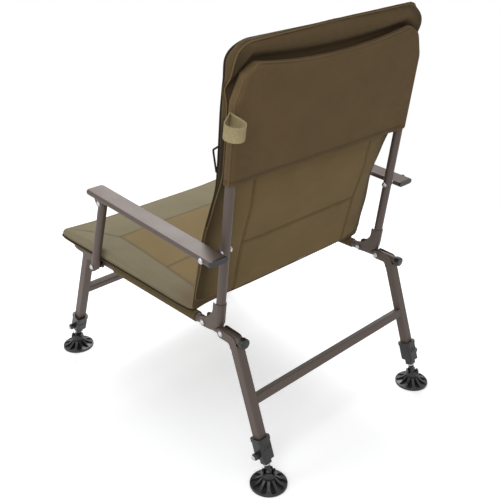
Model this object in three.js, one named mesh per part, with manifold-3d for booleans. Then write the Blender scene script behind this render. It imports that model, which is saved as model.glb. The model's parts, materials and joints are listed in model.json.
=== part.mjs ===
// Fishing chair with a folding steel frame, a padded seat and back, and four telescopic legs on ball feet.
// Millimetres and degrees, +Z up. The sitter faces -Y and the sitter's left is +X.
// The origin lies on the floor under the middle of the chair.

import * as THREE from 'three';
import { mergeVertices } from 'three/addons/utils/BufferGeometryUtils.js';
import Module from 'manifold-3d';

const wasm = await Module();
wasm.setup();

// Shared values
const touchGap = 0.3;
const cutOverrun = 5;
const turn = Math.PI * 2;
const degree = turn / 360;
const tubeSides = 12;
const bendSteps = 4;
const arcSteps = 2;
const washerSides = 8;
const holeSides = 8;
const nutSides = 6;

// Seat frame, one U of round tube
const railRadius = 10;
const railWall = 1.5;
const railHalfSpan = 275;
const railMidHeight = 343.5;
const railSlope = 0.79;
const railRearEnd = 320;
const railFrontReach = 362;
const railBendRadius = 45;
const railCapWall = 1.2;
const railCapGrip = 8;
const railCapEnd = 4;
const railCapRound = 2.5;

// Pivots on the rail, measured along it from the middle of the chair and up from its axis
const backPivotAlong = 196.5;
const backPivotRise = 3.2;
const rearLegPivotAlong = 255.5;
const rearLegPivotRise = 0;
const frontLegPivotAlong = -201.5;
const frontLegPivotRise = -1.8;

// Bolts
const boltRadius = 3;
const boltHoleGap = 0.35;
const boltHeadRadius = 7;
const boltHeadHeight = 3.6;
const nutRadius = 6.6;
const nutHeight = 5;
const boltTail = 2.5;

// Legs
const legWidth = 23;
const legWall = 1.2;
const legCorner = 3;
const legHeadNose = 11.5;
const legHeadTop = 8;
const noseRoundShare = 0.9;
const legHeadRound = 14;
const legBendRound = 9;
const legWebStart = 17;
const legHeadDepth = 34;
const rearLegLean = 18.78;
const rearLegOffset = 33;
const frontLegLean = 20.7;
const frontLegOffset = 70.7;
const rearBarHeight = 199;
const frontBarHeight = 216;
const barWidth = 20;
const barWall = 1.5;
const barCorner = 2.5;

// Collars at the lower ends of the outer legs
const collarWidth = 33;
const collarCorner = 6;
const collarTop = 86;
const collarBottom = 36;
const collarTubeSeat = 22;
const collarLipHeight = 5;
const collarLipProud = 1.4;
const collarLipRise = 3;
const collarSlant = 7;
const collarRibCount = 3;
const collarRibDepth = 1.1;
const collarRibWidth = 4;
const collarRibPitch = 8;
const collarRibTop = 14;
const collarBossRadius = 7.5;
const collarBossLength = 4;

// Inner legs with their ball studs
const innerLegGap = 0.7;
const innerLegWall = 1.5;
const innerLegCorner = 2;
const innerLegInside = 140;
const innerLegFoot = 24;
const innerLegPlug = 8;
const ballRadius = 9;
const ballNeckRadius = 5.5;
const ballSides = 10;
const ballRings = 6;

// Pull pins
const pinRadius = 2.3;
const pinHoleGap = 0.35;
const pinTailLength = 2;
const pinKnobRadius = 8.5;
const pinKnobLength = 9;
const pinKnobRound = 2;
const pinAbove = 9;

// Feet
const footRadius = 43;
const footBallHeight = 34;
const footRim = 6;
const footRimRound = 1.5;
const footConeTop = 20;
const footHubRadius = 17;
const footHubTop = 40;
const footHubRound = 2;
const footCupGap = 0.4;
const footCupMouth = 4;
const footCupLead = 2;
const footSides = 16;
const footCupSteps = 3;
const footSlotCount = 8;
const footSlotWidth = 7;
const footSlotInner = 21;
const footSlotOuter = 39;
const footSlotFloor = 5;

// Back frame, one U of round tube, and its side brackets
const backRecline = 7.3;
const backTubeRadius = 10.5;
const backTubeWall = 1.5;
const backTubeOffset = 42.2;
const backTubeFoot = 13.8;
const backTubeTop = 564;
const backBendRadius = 60;
const bracketWall = 1.5;
const bracketTop = 71;
const bracketBoss = 12;
const bracketBellyAlong = 30;
const bracketBellyDrop = 3.2;
const bracketHeelAlong = 49;
const bracketHeelRise = 16;
const bracketBackRise = 34;
const bracketNeckRise = 46;
const bracketNeckRound = 22;
const bracketToeAlong = 12;
const bracketToeRise = 21;
const bracketRound = 10;
const armPivotUp = 202;

// Arms, their caps and brackets
const armBesideRail = 16.5;
const armInner = railHalfSpan + armBesideRail;
const armWidth = 49.5;
const armThickness = 13;
const armWall = 1.5;
const armSlope = 4.5;
const armRear = 23;
const armFront = 416;
const armNoseRound = 9;
const armSideRound = 6.2;
const armCapEnd = 4;
const armCapPlug = 14;
const armBracketWall = 2;
const armBracketFront = 22;
const armBracketRear = 20;
const armBracketNose = 9.5;
const armBracketFlare = 9;

// Posts between the seat frame and the arms
const postRadius = 11;
const postWall = 1.5;
const postBesideRail = 29.5;
const postMiddle = railHalfSpan + postBesideRail;
const postEndBelow = 13;
const postEndAbove = 12;
const postBoltGap = 0.5;
const spacerRadius = 9;

// Sling of cloth under the seat cushion
const slingCloth = 2;
const slingRearEdge = 168;
const slingPanelRear = 140;
const slingSideFront = 148;
const slingBesideRail = 14;
const slingHalfInner = railHalfSpan - slingBesideRail;
const slingFrontInset = 8;
const slingFrontHalf = railHalfSpan - railBendRadius - slingFrontInset;

// Seat cushion
const seatBesideRail = 16.5;
const seatHalfWidth = railHalfSpan + seatBesideRail;
const seatRearEdge = 160;
const seatRearBow = 16;
const seatFrontEdge = 371;
const seatFrontBow = 22;
const seatSideBow = 3;
const seatCornerShare = 0.018;
const seatSideHeight = 50;
const seatRearHeight = 20;
const seatCrown = 10;
const seatBorderWidth = 74.5;
const seatPanelHalf = seatHalfWidth - seatBorderWidth;
const seatPanelFront = 210;
const seatChannelAlong = -18;
const seatSeamDepth = 6;
const seatSeamWidth = 9;
const seatFrontDrop = 8;

// Back cushion, measured along the back from the back pivot
const backPadBesideTube = 11;
const backPadHalfWidth = railHalfSpan + backPadBesideTube;
const backPadTop = 632;
const backPadTopTilt = 8;
const backPadTopShift = 5;
const backPadTopRound = 40;
const backPadFoot = 12;
const backPadHeelRise = 28;
const backPadFrontAhead = 80;
const backPadRearAhead = 50;
const backPadWrap = 27;
const backPadGap = 0.7;
const backPadCrown = 12;
const backPadWaist = 10;
const backPadSeamDepth = 4;
const backPadSeamWidth = 10;
const backPadSeamInset = 96;
const backPadSeamHalf = backPadHalfWidth - backPadSeamInset;
const backPadSeamUp = 175;

// Head pocket over the top of the back frame
const pocketHalfThickness = 14;
const pocketFoot = 354;
const pocketTopInset = 54;
const pocketTopBow = 19;
const pocketTopTilt = 5;
const pocketCornerDrop = 70;
const pocketTubeGap = 0.6;

// Webbing loop on the left edge of the pocket and thin loop on the left edge of the cushion
const loopUp = 491;
const loopLength = 64;
const loopHalfWidth = 38;
const loopRound = 20;
const loopBand = 30;
const loopCloth = 2;
const loopTurn = 60;
const loopDroop = 5;
const edgeLoopUp = 366;
const edgeLoopHeight = 54;
const edgeLoopReach = 14;
const edgeLoopTopShare = 0.94;
const edgeLoopAhead = 38;
const edgeLoopRadius = 1.6;

// Materials
const colours = {
  frame: 0x6c615c,
  zinc: 0xb9bbbd,
  black: 0x2f2f31,
  cushion: 0x5a4b37,
  seat: 0x7e7763,
  pocket: 0x5b4d3a,
  sling: 0x55462f,
  webbing: 0x897c5c,
};
const finishes = {
  frame: { roughness: 0.45, metalness: 0.35 },
  zinc: { roughness: 0.3, metalness: 0.9 },
  black: { roughness: 0.6, metalness: 0 },
  cushion: { roughness: 0.9, metalness: 0 },
  seat: { roughness: 0.9, metalness: 0 },
  pocket: { roughness: 0.9, metalness: 0 },
  sling: { roughness: 0.9, metalness: 0 },
  webbing: { roughness: 0.95, metalness: 0 },
};

// Worked out from the driving dimensions
const legHalf = legWidth / 2;
const legInnerHalf = legHalf - legWall;
const innerLegHalf = legInnerHalf - innerLegGap;
const railDirection = railSlope * degree;
const bracketInnerHalf = backTubeRadius + touchGap;
const bracketOuterHalf = bracketInnerHalf + bracketWall;
const armOuter = armInner + armWidth;
const armBracketInnerHalf = postRadius + touchGap;
const armBracketOuterHalf = armBracketInnerHalf + armBracketWall;
const slingInnerRadius = railRadius + touchGap;
const slingOuterRadius = clearRadius(slingInnerRadius) + slingCloth;
const seatBottom = slingOuterRadius + touchGap;
const boltHoleRadius = boltRadius + boltHoleGap;

// Solids from geometry and back
function weld(geometry) {
  const bare = geometry.clone();
  bare.deleteAttribute('normal');
  bare.deleteAttribute('uv');
  const welded = mergeVertices(bare);
  const index = welded.index.array;
  const kept = [];
  for (let first = 0; first < index.length; first += 3) {
    const [a, b, c] = index.slice(first, first + 3);
    if (a !== b && b !== c && c !== a) kept.push(a, b, c);
  }
  welded.setIndex(kept);
  return welded;
}

function signedVolume(geometry) {
  const place = geometry.attributes.position;
  const index = geometry.index.array;
  const corners = [new THREE.Vector3(), new THREE.Vector3(), new THREE.Vector3()];
  let sum = 0;
  for (let first = 0; first < index.length; first += 3) {
    corners.forEach((corner, step) => corner.fromBufferAttribute(place, index[first + step]));
    sum += corners[0].dot(corners[1].clone().cross(corners[2]));
  }
  return sum;
}

function turnedOver(geometry) {
  const index = Array.from(geometry.index.array);
  for (let first = 0; first < index.length; first += 3) {
    [index[first + 1], index[first + 2]] = [index[first + 2], index[first + 1]];
  }
  geometry.setIndex(index);
  return geometry;
}

function outward(geometry) {
  const welded = weld(geometry);
  return signedVolume(welded) < 0 ? turnedOver(welded) : welded;
}

function toSolid(geometry) {
  const welded = outward(geometry);
  return new wasm.Manifold(new wasm.Mesh({
    numProp: 3,
    vertProperties: Float32Array.from(welded.attributes.position.array),
    triVerts: Uint32Array.from(welded.index.array),
  }));
}

function toGeometry(solid) {
  const mesh = solid.getMesh();
  const geometry = new THREE.BufferGeometry();
  const places = Float32Array.from(mesh.vertProperties);
  geometry.setAttribute('position', new THREE.BufferAttribute(places, mesh.numProp));
  geometry.setIndex(new THREE.BufferAttribute(Uint32Array.from(mesh.triVerts), 1));
  return geometry;
}

function joined(...pieces) {
  return toGeometry(pieces.map(toSolid).reduce((whole, piece) => whole.add(piece)));
}

function without(body, ...tools) {
  return toGeometry(tools.map(toSolid).reduce((whole, tool) => whole.subtract(tool), toSolid(body)));
}

function shared(first, second) {
  return toGeometry(toSolid(first).intersect(toSolid(second)));
}

function mirrored(geometry) {
  const copy = weld(geometry);
  copy.scale(-1, 1, 1);
  return turnedOver(copy);
}

// Outlines
function roundedOutline(corners) {
  const outline = new THREE.Shape();
  corners.forEach(([along, up, radius = 0], place) => {
    const corner = new THREE.Vector2(along, up);
    const [beforeAlong, beforeUp] = corners[(place + corners.length - 1) % corners.length];
    const [afterAlong, afterUp] = corners[(place + 1) % corners.length];
    const toBefore = new THREE.Vector2(beforeAlong, beforeUp).sub(corner).normalize();
    const toAfter = new THREE.Vector2(afterAlong, afterUp).sub(corner).normalize();
    const halfAngle = Math.acos(THREE.MathUtils.clamp(toBefore.dot(toAfter), -1, 1)) / 2;
    const reach = radius / Math.tan(halfAngle);
    const start = corner.clone().addScaledVector(toBefore, reach);
    if (place === 0) outline.moveTo(start.x, start.y);
    else outline.lineTo(start.x, start.y);
    if (radius === 0) return;
    const middle = toBefore.clone().add(toAfter).normalize();
    const centre = corner.clone().addScaledVector(middle, radius / Math.sin(halfAngle));
    const end = corner.clone().addScaledVector(toAfter, reach);
    const clockwise = toBefore.cross(toAfter) > 0;
    const startAngle = Math.atan2(start.y - centre.y, start.x - centre.x);
    const endAngle = Math.atan2(end.y - centre.y, end.x - centre.x);
    outline.absarc(centre.x, centre.y, radius, startAngle, endAngle, clockwise);
  });
  outline.closePath();
  return outline;
}

function roundedRectangle(halfAcross, halfAlong, radius, acrossMiddle = 0, alongMiddle = 0) {
  return roundedOutline([
    [acrossMiddle - halfAcross, alongMiddle - halfAlong, radius],
    [acrossMiddle + halfAcross, alongMiddle - halfAlong, radius],
    [acrossMiddle + halfAcross, alongMiddle + halfAlong, radius],
    [acrossMiddle - halfAcross, alongMiddle + halfAlong, radius],
  ]);
}

function circleOutline(radius, sides) {
  return Array.from({ length: sides }, (_, step) => {
    const angle = (step + 1 / 2) * turn / sides;
    return new THREE.Vector2(radius * Math.cos(angle), radius * Math.sin(angle));
  });
}

// Solids along an axis
const alongX = new THREE.Matrix4().makeBasis(
  new THREE.Vector3(0, 1, 0), new THREE.Vector3(0, 0, 1), new THREE.Vector3(1, 0, 0));
const alongY = new THREE.Matrix4().makeBasis(
  new THREE.Vector3(0, 0, 1), new THREE.Vector3(1, 0, 0), new THREE.Vector3(0, 1, 0));

function extruded(outline, from, to, curveSegments = arcSteps) {
  const length = to - from;
  const piece = new THREE.ExtrudeGeometry(outline, { depth: length, bevelEnabled: false, curveSegments });
  piece.translate(0, 0, from);
  return piece;
}

// The outline's first value runs along Y and its second along Z
function sidePlate(outline, fromX, toX) {
  return extruded(outline, fromX, toX).applyMatrix4(alongX);
}

// The outline's first value runs along Z and its second along X
function endPlate(outline, fromY, toY) {
  return extruded(outline, fromY, toY).applyMatrix4(alongY);
}

function box(fromX, toX, fromY, toY, fromZ, toZ) {
  const block = new THREE.BoxGeometry(toX - fromX, toY - fromY, toZ - fromZ);
  block.translate((fromX + toX) / 2, (fromY + toY) / 2, (fromZ + toZ) / 2);
  return block;
}

// The corner radius of a many-sided bore whose flats lie at the given radius
function clearRadius(radius, sides = tubeSides) {
  return radius / Math.cos(turn / sides / 2);
}

function rodAlongX(radius, fromX, toX, y, z, sides = washerSides) {
  const rod = new THREE.CylinderGeometry(radius, radius, toX - fromX, sides);
  rod.rotateZ(turn / 4);
  rod.translate((fromX + toX) / 2, y, z);
  return rod;
}

function boltHole(fromX, toX, y, z) {
  return rodAlongX(boltHoleRadius, fromX, toX, y, z, holeSides);
}

function rodAlongY(radius, fromY, toY, x, z, sides = tubeSides) {
  const rod = new THREE.CylinderGeometry(radius, radius, toY - fromY, sides);
  rod.rotateY(turn / sides / 2);
  rod.translate(x, (fromY + toY) / 2, z);
  return rod;
}

function rodAlongZ(radius, fromZ, toZ, x, y, sides = tubeSides) {
  const rod = new THREE.CylinderGeometry(radius, radius, toZ - fromZ, sides);
  rod.rotateX(turn / 4);
  rod.translate(x, y, (fromZ + toZ) / 2);
  return rod;
}

// A profile of radius and height, turned round the Z axis
function turnedAboutZ(profile, sides) {
  const points = profile.map(([radius, height]) => new THREE.Vector2(radius, height));
  return new THREE.LatheGeometry(points, sides).rotateX(turn / 4);
}

function turnedAboutX(profile, sides) {
  return turnedAboutZ(profile, sides).rotateY(turn / 4);
}

// A path that is sampled only at its own stations, so straights stay light and bends stay round
class StationCurve extends THREE.Curve {
  constructor(stations) {
    super();
    this.stations = stations;
  }

  getPointAt(share, target = new THREE.Vector3()) {
    const last = this.stations.length - 1;
    return target.copy(this.stations[Math.round(share * last)]);
  }

  getTangentAt(share, target = new THREE.Vector3()) {
    const last = this.stations.length - 1;
    const place = Math.round(share * last);
    const here = this.stations[place];
    target.set(0, 0, 0);
    if (place > 0) target.add(here.clone().sub(this.stations[place - 1]).normalize());
    if (place < last) target.add(this.stations[place + 1].clone().sub(here).normalize());
    return target.normalize();
  }
}

function bentStations(corners, radius, steps) {
  const stations = [corners[0].clone()];
  for (let place = 1; place < corners.length - 1; place += 1) {
    const corner = corners[place];
    const toBefore = corners[place - 1].clone().sub(corner).normalize();
    const toAfter = corners[place + 1].clone().sub(corner).normalize();
    const halfAngle = toBefore.angleTo(toAfter) / 2;
    const middle = toBefore.clone().add(toAfter).normalize();
    const centre = corner.clone().addScaledVector(middle, radius / Math.sin(halfAngle));
    const start = corner.clone().addScaledVector(toBefore, radius / Math.tan(halfAngle)).sub(centre);
    const axis = toAfter.clone().cross(toBefore).normalize();
    const sweep = Math.PI - halfAngle * 2;
    for (let step = 0; step <= steps; step += 1) {
      stations.push(start.clone().applyAxisAngle(axis, sweep * step / steps).add(centre));
    }
  }
  stations.push(corners[corners.length - 1].clone());
  return stations;
}

function swept(outline, stations) {
  return new THREE.ExtrudeGeometry(outline, {
    steps: stations.length - 1,
    extrudePath: new StationCurve(stations),
    curveSegments: arcSteps,
  });
}

function roundTube(stations, radius, wall) {
  const outline = new THREE.Shape(circleOutline(radius, tubeSides));
  outline.holes.push(new THREE.Path(circleOutline(radius - wall, tubeSides)));
  return swept(outline, stations);
}

// A padded form between two faces that share one grid of shares
function paddedForm(columns, rows, frontFace, rearFace) {
  const across = columns.length;
  const along = rows.length;
  const places = [];
  [frontFace, rearFace].forEach((face) => {
    rows.forEach((row) => columns.forEach((column) => places.push(...face(column, row).toArray())));
  });
  const at = (face, column, row) => (face * along + row) * across + column;
  const index = [];
  const quad = (a, b, c, d) => index.push(a, b, c, a, c, d);
  const lastColumn = across - 1;
  const lastRow = along - 1;
  for (let row = 0; row < lastRow; row += 1) {
    for (let column = 0; column < lastColumn; column += 1) {
      quad(at(0, column, row), at(0, column + 1, row), at(0, column + 1, row + 1), at(0, column, row + 1));
      quad(at(1, column, row), at(1, column, row + 1), at(1, column + 1, row + 1), at(1, column + 1, row));
    }
    quad(at(0, 0, row), at(0, 0, row + 1), at(1, 0, row + 1), at(1, 0, row));
    quad(
      at(0, lastColumn, row + 1), at(0, lastColumn, row),
      at(1, lastColumn, row), at(1, lastColumn, row + 1));
  }
  for (let column = 0; column < lastColumn; column += 1) {
    quad(at(0, column + 1, 0), at(0, column, 0), at(1, column, 0), at(1, column + 1, 0));
    quad(
      at(0, column, lastRow), at(0, column + 1, lastRow),
      at(1, column + 1, lastRow), at(1, column, lastRow));
  }
  const form = new THREE.BufferGeometry();
  form.setAttribute('position', new THREE.Float32BufferAttribute(places, 3));
  form.setIndex(index);
  return form;
}

// How deep a sewn seam draws the cover in at a distance from its line
function seamDraw(distance, depth, width) {
  return depth * Math.exp(-((distance / width) ** 2));
}

// A smooth value between the entries of a table of [share, value share]
function tableShare(table, share) {
  const last = table.length - 1;
  const place = table.findIndex(([at]) => at >= share);
  if (place <= 0) return place === 0 ? table[0][1] : table[last][1];
  const [fromAt, fromValue] = table[place - 1];
  const [toAt, toValue] = table[place];
  return THREE.MathUtils.lerp(fromValue, toValue, THREE.MathUtils.smoothstep(share, fromAt, toAt));
}

// Adding parts to the scene graph
function addPart(group, name, geometry, finish) {
  const material = new THREE.MeshStandardMaterial({ color: colours[finish], ...finishes[finish] });
  const mesh = new THREE.Mesh(outward(geometry), material);
  mesh.geometry.computeVertexNormals();
  mesh.name = name;
  group.add(mesh);
}

function addPair(group, name, geometry, finish) {
  addPart(group, `${name}_left`, geometry, finish);
  addPart(group, `${name}_right`, mirrored(geometry), finish);
}

// A bolt across the chair, with its head outside and its nut inside
function boltAcross(y, z, headFrom, nutFrom) {
  const headEnd = headFrom + boltHeadHeight;
  const nutEnd = nutFrom - nutHeight;
  return joined(
    rodAlongX(boltRadius, nutEnd - boltTail, headEnd - touchGap, y, z, holeSides),
    rodAlongX(boltHeadRadius, headFrom, headEnd, y, z),
    rodAlongX(nutRadius, nutEnd, nutFrom, y, z, nutSides),
  );
}

// Seat frame
const seat = new THREE.Group();
seat.position.set(0, 0, railMidHeight);
seat.rotation.x = -railDirection;

const railPivots = [
  [backPivotAlong, backPivotRise],
  [rearLegPivotAlong, rearLegPivotRise],
  [frontLegPivotAlong, frontLegPivotRise],
];

function seatRail() {
  const corners = [
    new THREE.Vector3(railHalfSpan, railRearEnd, 0),
    new THREE.Vector3(railHalfSpan, -railFrontReach, 0),
    new THREE.Vector3(-railHalfSpan, -railFrontReach, 0),
    new THREE.Vector3(-railHalfSpan, railRearEnd, 0),
  ];
  const tube = roundTube(bentStations(corners, railBendRadius, bendSteps), railRadius, railWall);
  const holeEnd = railHalfSpan + railRadius + cutOverrun;
  const holes = railPivots.map(([y, z]) => boltHole(-holeEnd, holeEnd, y, z));
  return without(tube, ...holes);
}

function railEndCap() {
  const inner = clearRadius(railRadius + touchGap);
  const outer = inner + railCapWall;
  const end = touchGap + railCapEnd;
  const cap = turnedAboutZ([
    [0, touchGap],
    [inner, touchGap],
    [inner, -railCapGrip],
    [outer, -railCapGrip],
    [outer, end - railCapRound],
    [outer - railCapRound, end],
    [0, end],
  ], tubeSides);
  cap.rotateX(-turn / 4);
  cap.translate(railHalfSpan, railRearEnd, 0);
  return cap;
}

function seatSling() {
  const sideSleeve = joined(
    rodAlongY(slingOuterRadius, -slingSideFront, slingRearEdge, railHalfSpan, 0),
    rodAlongY(slingOuterRadius, -slingSideFront, slingRearEdge, -railHalfSpan, 0),
    rodAlongX(slingOuterRadius, -slingFrontHalf, slingFrontHalf, -railFrontReach, 0, tubeSides),
    box(-slingHalfInner, slingHalfInner, -railFrontReach, slingPanelRear, slingInnerRadius, slingOuterRadius),
    box(-railHalfSpan, railHalfSpan, -slingSideFront, slingPanelRear, slingInnerRadius, slingOuterRadius),
  );
  const passEnd = railRearEnd + cutOverrun;
  return without(
    sideSleeve,
    rodAlongY(clearRadius(slingInnerRadius), -passEnd, passEnd, railHalfSpan, 0),
    rodAlongY(clearRadius(slingInnerRadius), -passEnd, passEnd, -railHalfSpan, 0),
    rodAlongX(clearRadius(slingInnerRadius), -railHalfSpan, railHalfSpan, -railFrontReach, 0, tubeSides),
  );
}

const seatColumnShares = [0, 0.16, 0.32, 0.48, 0.62, 0.71, 0.745, 0.78, 0.87, 0.94, 0.98, 1];
const seatRowShares = [
  0, 0.02, 0.07, 0.16, 0.25, 0.32, 0.35, 0.38, 0.46, 0.56,
  0.65, 0.675, 0.705, 0.735, 0.79, 0.86, 0.92, 0.97, 1,
];
// How the side edge stands up along the cushion, from its rear edge to its front edge
const seatHeightShares = [[0, 0], [0.27, 0.4], [0.6, 0.92], [0.78, 1], [0.92, 0.84], [1, 0.25]];

function mirroredShares(shares) {
  return [...shares.slice(1).reverse().map((share) => -share), ...shares];
}

function seatPlan(across, share) {
  const side = Math.abs(across);
  const front = -seatFrontEdge - seatFrontBow * side ** 5;
  const rear = seatRearEdge - seatRearBow * (1 - side ** 6);
  const along = THREE.MathUtils.lerp(rear, front, share);
  const endwise = share * 2 - 1;
  const halfWidth = seatHalfWidth - seatSideBow * (1 - endwise ** 2);
  const x = across * halfWidth * (1 - seatCornerShare * Math.abs(endwise) ** 12);
  const y = along * (1 - seatCornerShare * side ** 12);
  return new THREE.Vector3(x, y, 0);
}

function seatTop(across, share) {
  const place = seatPlan(across, share);
  const side = Math.abs(across);
  const edge = seatRearHeight + (seatSideHeight - seatRearHeight) * tableShare(seatHeightShares, share);
  const lengthwise = Math.sin(Math.PI * THREE.MathUtils.clamp(share, 0, 1)) ** (1 / 2);
  const crown = seatCrown * (1 - side ** 4) * lengthwise;
  const inPanel = place.y > -seatPanelFront - seatSeamWidth;
  const inWidth = Math.abs(place.x) < seatPanelHalf + seatSeamWidth;
  const sideSeam = inPanel ? seamDraw(Math.abs(place.x) - seatPanelHalf, seatSeamDepth, seatSeamWidth) : 0;
  const frontSeam = inWidth ? seamDraw(place.y + seatPanelFront, seatSeamDepth, seatSeamWidth) : 0;
  const channel = inWidth ? seamDraw(place.y - seatChannelAlong, seatSeamDepth, seatSeamWidth) : 0;
  place.z = Math.max(edge + crown - Math.max(sideSeam, frontSeam, channel), seatBottom + touchGap);
  return place;
}

function seatUnderside(across, share) {
  const place = seatPlan(across, share);
  const pastRail = Math.max(0, -place.y - railFrontReach - slingOuterRadius);
  place.z = seatBottom - seatFrontDrop * pastRail / seatFrontBow;
  return place;
}

function seatCushion() {
  return paddedForm(mirroredShares(seatColumnShares), seatRowShares, seatTop, seatUnderside);
}

function postSpacer() {
  const cheekFace = railHalfSpan + legHalf + touchGap;
  const postFace = postMiddle - postRadius - touchGap;
  return without(
    rodAlongX(spacerRadius, cheekFace, postFace, frontLegPivotAlong, frontLegPivotRise, tubeSides),
    boltHole(cheekFace - cutOverrun, postFace + cutOverrun, frontLegPivotAlong, frontLegPivotRise),
  );
}

const cheekOutside = railHalfSpan + legHalf + touchGap;
const cheekInside = railHalfSpan - legHalf - touchGap;
const bracketOutside = railHalfSpan + bracketOuterHalf + touchGap;
const bracketInside = railHalfSpan - bracketOuterHalf - touchGap;
const postOutside = postMiddle + postRadius + touchGap;

addPart(seat, 'seat_rail', seatRail(), 'frame');
addPair(seat, 'rail_end_cap', railEndCap(), 'black');
addPart(seat, 'seat_sling', seatSling(), 'sling');
addPart(seat, 'seat_cushion', seatCushion(), 'seat');
const rearLegBolt = boltAcross(rearLegPivotAlong, rearLegPivotRise, cheekOutside, cheekInside);
addPair(seat, 'rear_leg_bolt', rearLegBolt, 'zinc');
const frontLegBolt = boltAcross(frontLegPivotAlong, frontLegPivotRise, postOutside, cheekInside);
addPair(seat, 'front_leg_bolt', frontLegBolt, 'zinc');
const backPivotBolt = boltAcross(backPivotAlong, backPivotRise, bracketOutside, bracketInside);
addPair(seat, 'back_pivot_bolt', backPivotBolt, 'zinc');
addPair(seat, 'post_spacer', postSpacer(), 'black');

// Places in the chair's own frame of the pivots on the rail
function onSeat(along, rise) {
  return new THREE.Vector3(0, along, rise).applyEuler(seat.rotation).add(seat.position);
}

const backPivot = onSeat(backPivotAlong, backPivotRise);
const rearLegPivot = onSeat(rearLegPivotAlong, rearLegPivotRise);
const frontLegPivot = onSeat(frontLegPivotAlong, frontLegPivotRise);

// Back frame, measured from the back pivot with Z along the tubes
const back = new THREE.Group();
back.position.copy(backPivot);
back.rotation.x = -backRecline * degree;

function backStations() {
  return bentStations([
    new THREE.Vector3(railHalfSpan, backTubeOffset, backTubeFoot),
    new THREE.Vector3(railHalfSpan, backTubeOffset, backTubeTop),
    new THREE.Vector3(-railHalfSpan, backTubeOffset, backTubeTop),
    new THREE.Vector3(-railHalfSpan, backTubeOffset, backTubeFoot),
  ], backBendRadius, bendSteps);
}

function backFrameTube() {
  const tube = roundTube(backStations(), backTubeRadius, backTubeWall);
  const holeEnd = railHalfSpan + backTubeRadius + cutOverrun;
  return without(tube, boltHole(-holeEnd, holeEnd, backTubeOffset, armPivotUp));
}

function backBracket() {
  const rearLine = backTubeOffset + bracketOuterHalf;
  const frontLine = backTubeOffset - bracketOuterHalf;
  const outline = roundedOutline([
    [-bracketBoss, -bracketBoss, bracketBoss * noseRoundShare],
    [bracketBellyAlong, -bracketBellyDrop, bracketRound],
    [bracketHeelAlong, bracketHeelRise, bracketRound],
    [rearLine, bracketBackRise, bracketRound],
    [rearLine, bracketTop],
    [frontLine, bracketTop],
    [frontLine, bracketNeckRise, bracketNeckRound],
    [bracketToeAlong, bracketToeRise, bracketRound],
    [-bracketBoss, bracketBoss, bracketBoss * noseRoundShare],
  ]);
  const left = railHalfSpan - bracketOuterHalf;
  const right = railHalfSpan + bracketOuterHalf;
  const low = -bracketBoss - cutOverrun;
  const high = bracketTop + cutOverrun;
  const envelope = joined(
    box(left - cutOverrun, right + cutOverrun, -bracketBoss - cutOverrun, backTubeOffset, low, high),
    rodAlongZ(clearRadius(bracketOuterHalf), low, high, railHalfSpan, backTubeOffset),
  );
  const innerLeft = railHalfSpan - bracketInnerHalf;
  const innerRight = railHalfSpan + bracketInnerHalf;
  return without(
    shared(sidePlate(outline, left, right), envelope),
    box(innerLeft, innerRight, -bracketBoss - cutOverrun, backTubeOffset, low, high),
    rodAlongZ(clearRadius(bracketInnerHalf), low, high, railHalfSpan, backTubeOffset),
    boltHole(left - cutOverrun, right + cutOverrun, 0, 0),
  );
}

const pocketHalfWidth = railHalfSpan + pocketHalfThickness;
const pocketTopHalf = pocketHalfWidth - pocketTopInset;
const pocketTop = backTubeTop + pocketHalfThickness;
const pocketColumnShares = [0, 0.4, 0.8, 0.952, 0.976, 0.9935, 1];
const pocketRowShares = [0, 0.35, 0.7, 0.83, 0.925, 0.955, 0.978, 0.994, 1];
// How far the side edge is drawn in, from the height where the corner begins to the top
const pocketCornerShares = [[0, 0], [0.74, 0.4], [1, 1]];
const pocketEdgeShare = 0.12;

// The share of full thickness that a round edge still has at a distance inside it
function roundEdgeShare(inside, radius) {
  const remaining = 1 - THREE.MathUtils.clamp(inside / radius, 0, 1);
  return Math.max(Math.sqrt(1 - remaining ** 2), pocketEdgeShare);
}

function pocketFace(facing) {
  return (across, share) => {
    const top = pocketTop + pocketTopBow * across ** 2 - pocketTopTilt * across;
    const up = THREE.MathUtils.lerp(pocketFoot, top, share);
    const drop = THREE.MathUtils.clamp((up - top + pocketCornerDrop) / pocketCornerDrop, 0, 1);
    const inset = tableShare(pocketCornerShares, drop);
    const halfWidth = THREE.MathUtils.lerp(pocketHalfWidth, pocketTopHalf, inset);
    const sideShare = roundEdgeShare((1 - Math.abs(across)) * halfWidth, pocketHalfThickness);
    const topShare = roundEdgeShare(top - up, pocketHalfThickness);
    const y = backTubeOffset + facing * pocketHalfThickness * Math.min(sideShare, topShare);
    return new THREE.Vector3(across * halfWidth, y, up);
  };
}

function headPocket() {
  const columns = mirroredShares(pocketColumnShares);
  const shell = paddedForm(columns, pocketRowShares, pocketFace(1), pocketFace(-1));
  const passage = circleOutline(clearRadius(backTubeRadius + pocketTubeGap), tubeSides);
  return without(shell, swept(new THREE.Shape(passage), backStations()));
}

const backColumnShares = [0, 0.2, 0.4, 0.58, 0.645, 0.68, 0.72, 0.82, 0.91, 0.97, 1];
const backRowShares = [
  0, 0.04, 0.12, 0.2, 0.24, 0.262, 0.285, 0.34, 0.42, 0.5, 0.56, 0.68, 0.8, 0.88, 0.937, 0.96, 0.98, 0.993, 1,
];
// How far the front and rear faces lie ahead of the tubes, from the foot of the back to its top
const backFrontShares = [
  [0, 0.98], [0.1, 1], [0.21, 0.95], [0.32, 0.85], [0.43, 0.66],
  [0.51, 0.5], [0.8, 0.51], [0.94, 0.4], [0.985, 0.36], [1, 0.3],
];
const backPadCrownShare = 0.25;
const backRearShares = [[0, 1], [0.12, 0.92], [0.25, 0.7], [0.38, 0.38], [0.52, 0.28], [1, 0.28]];
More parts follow.
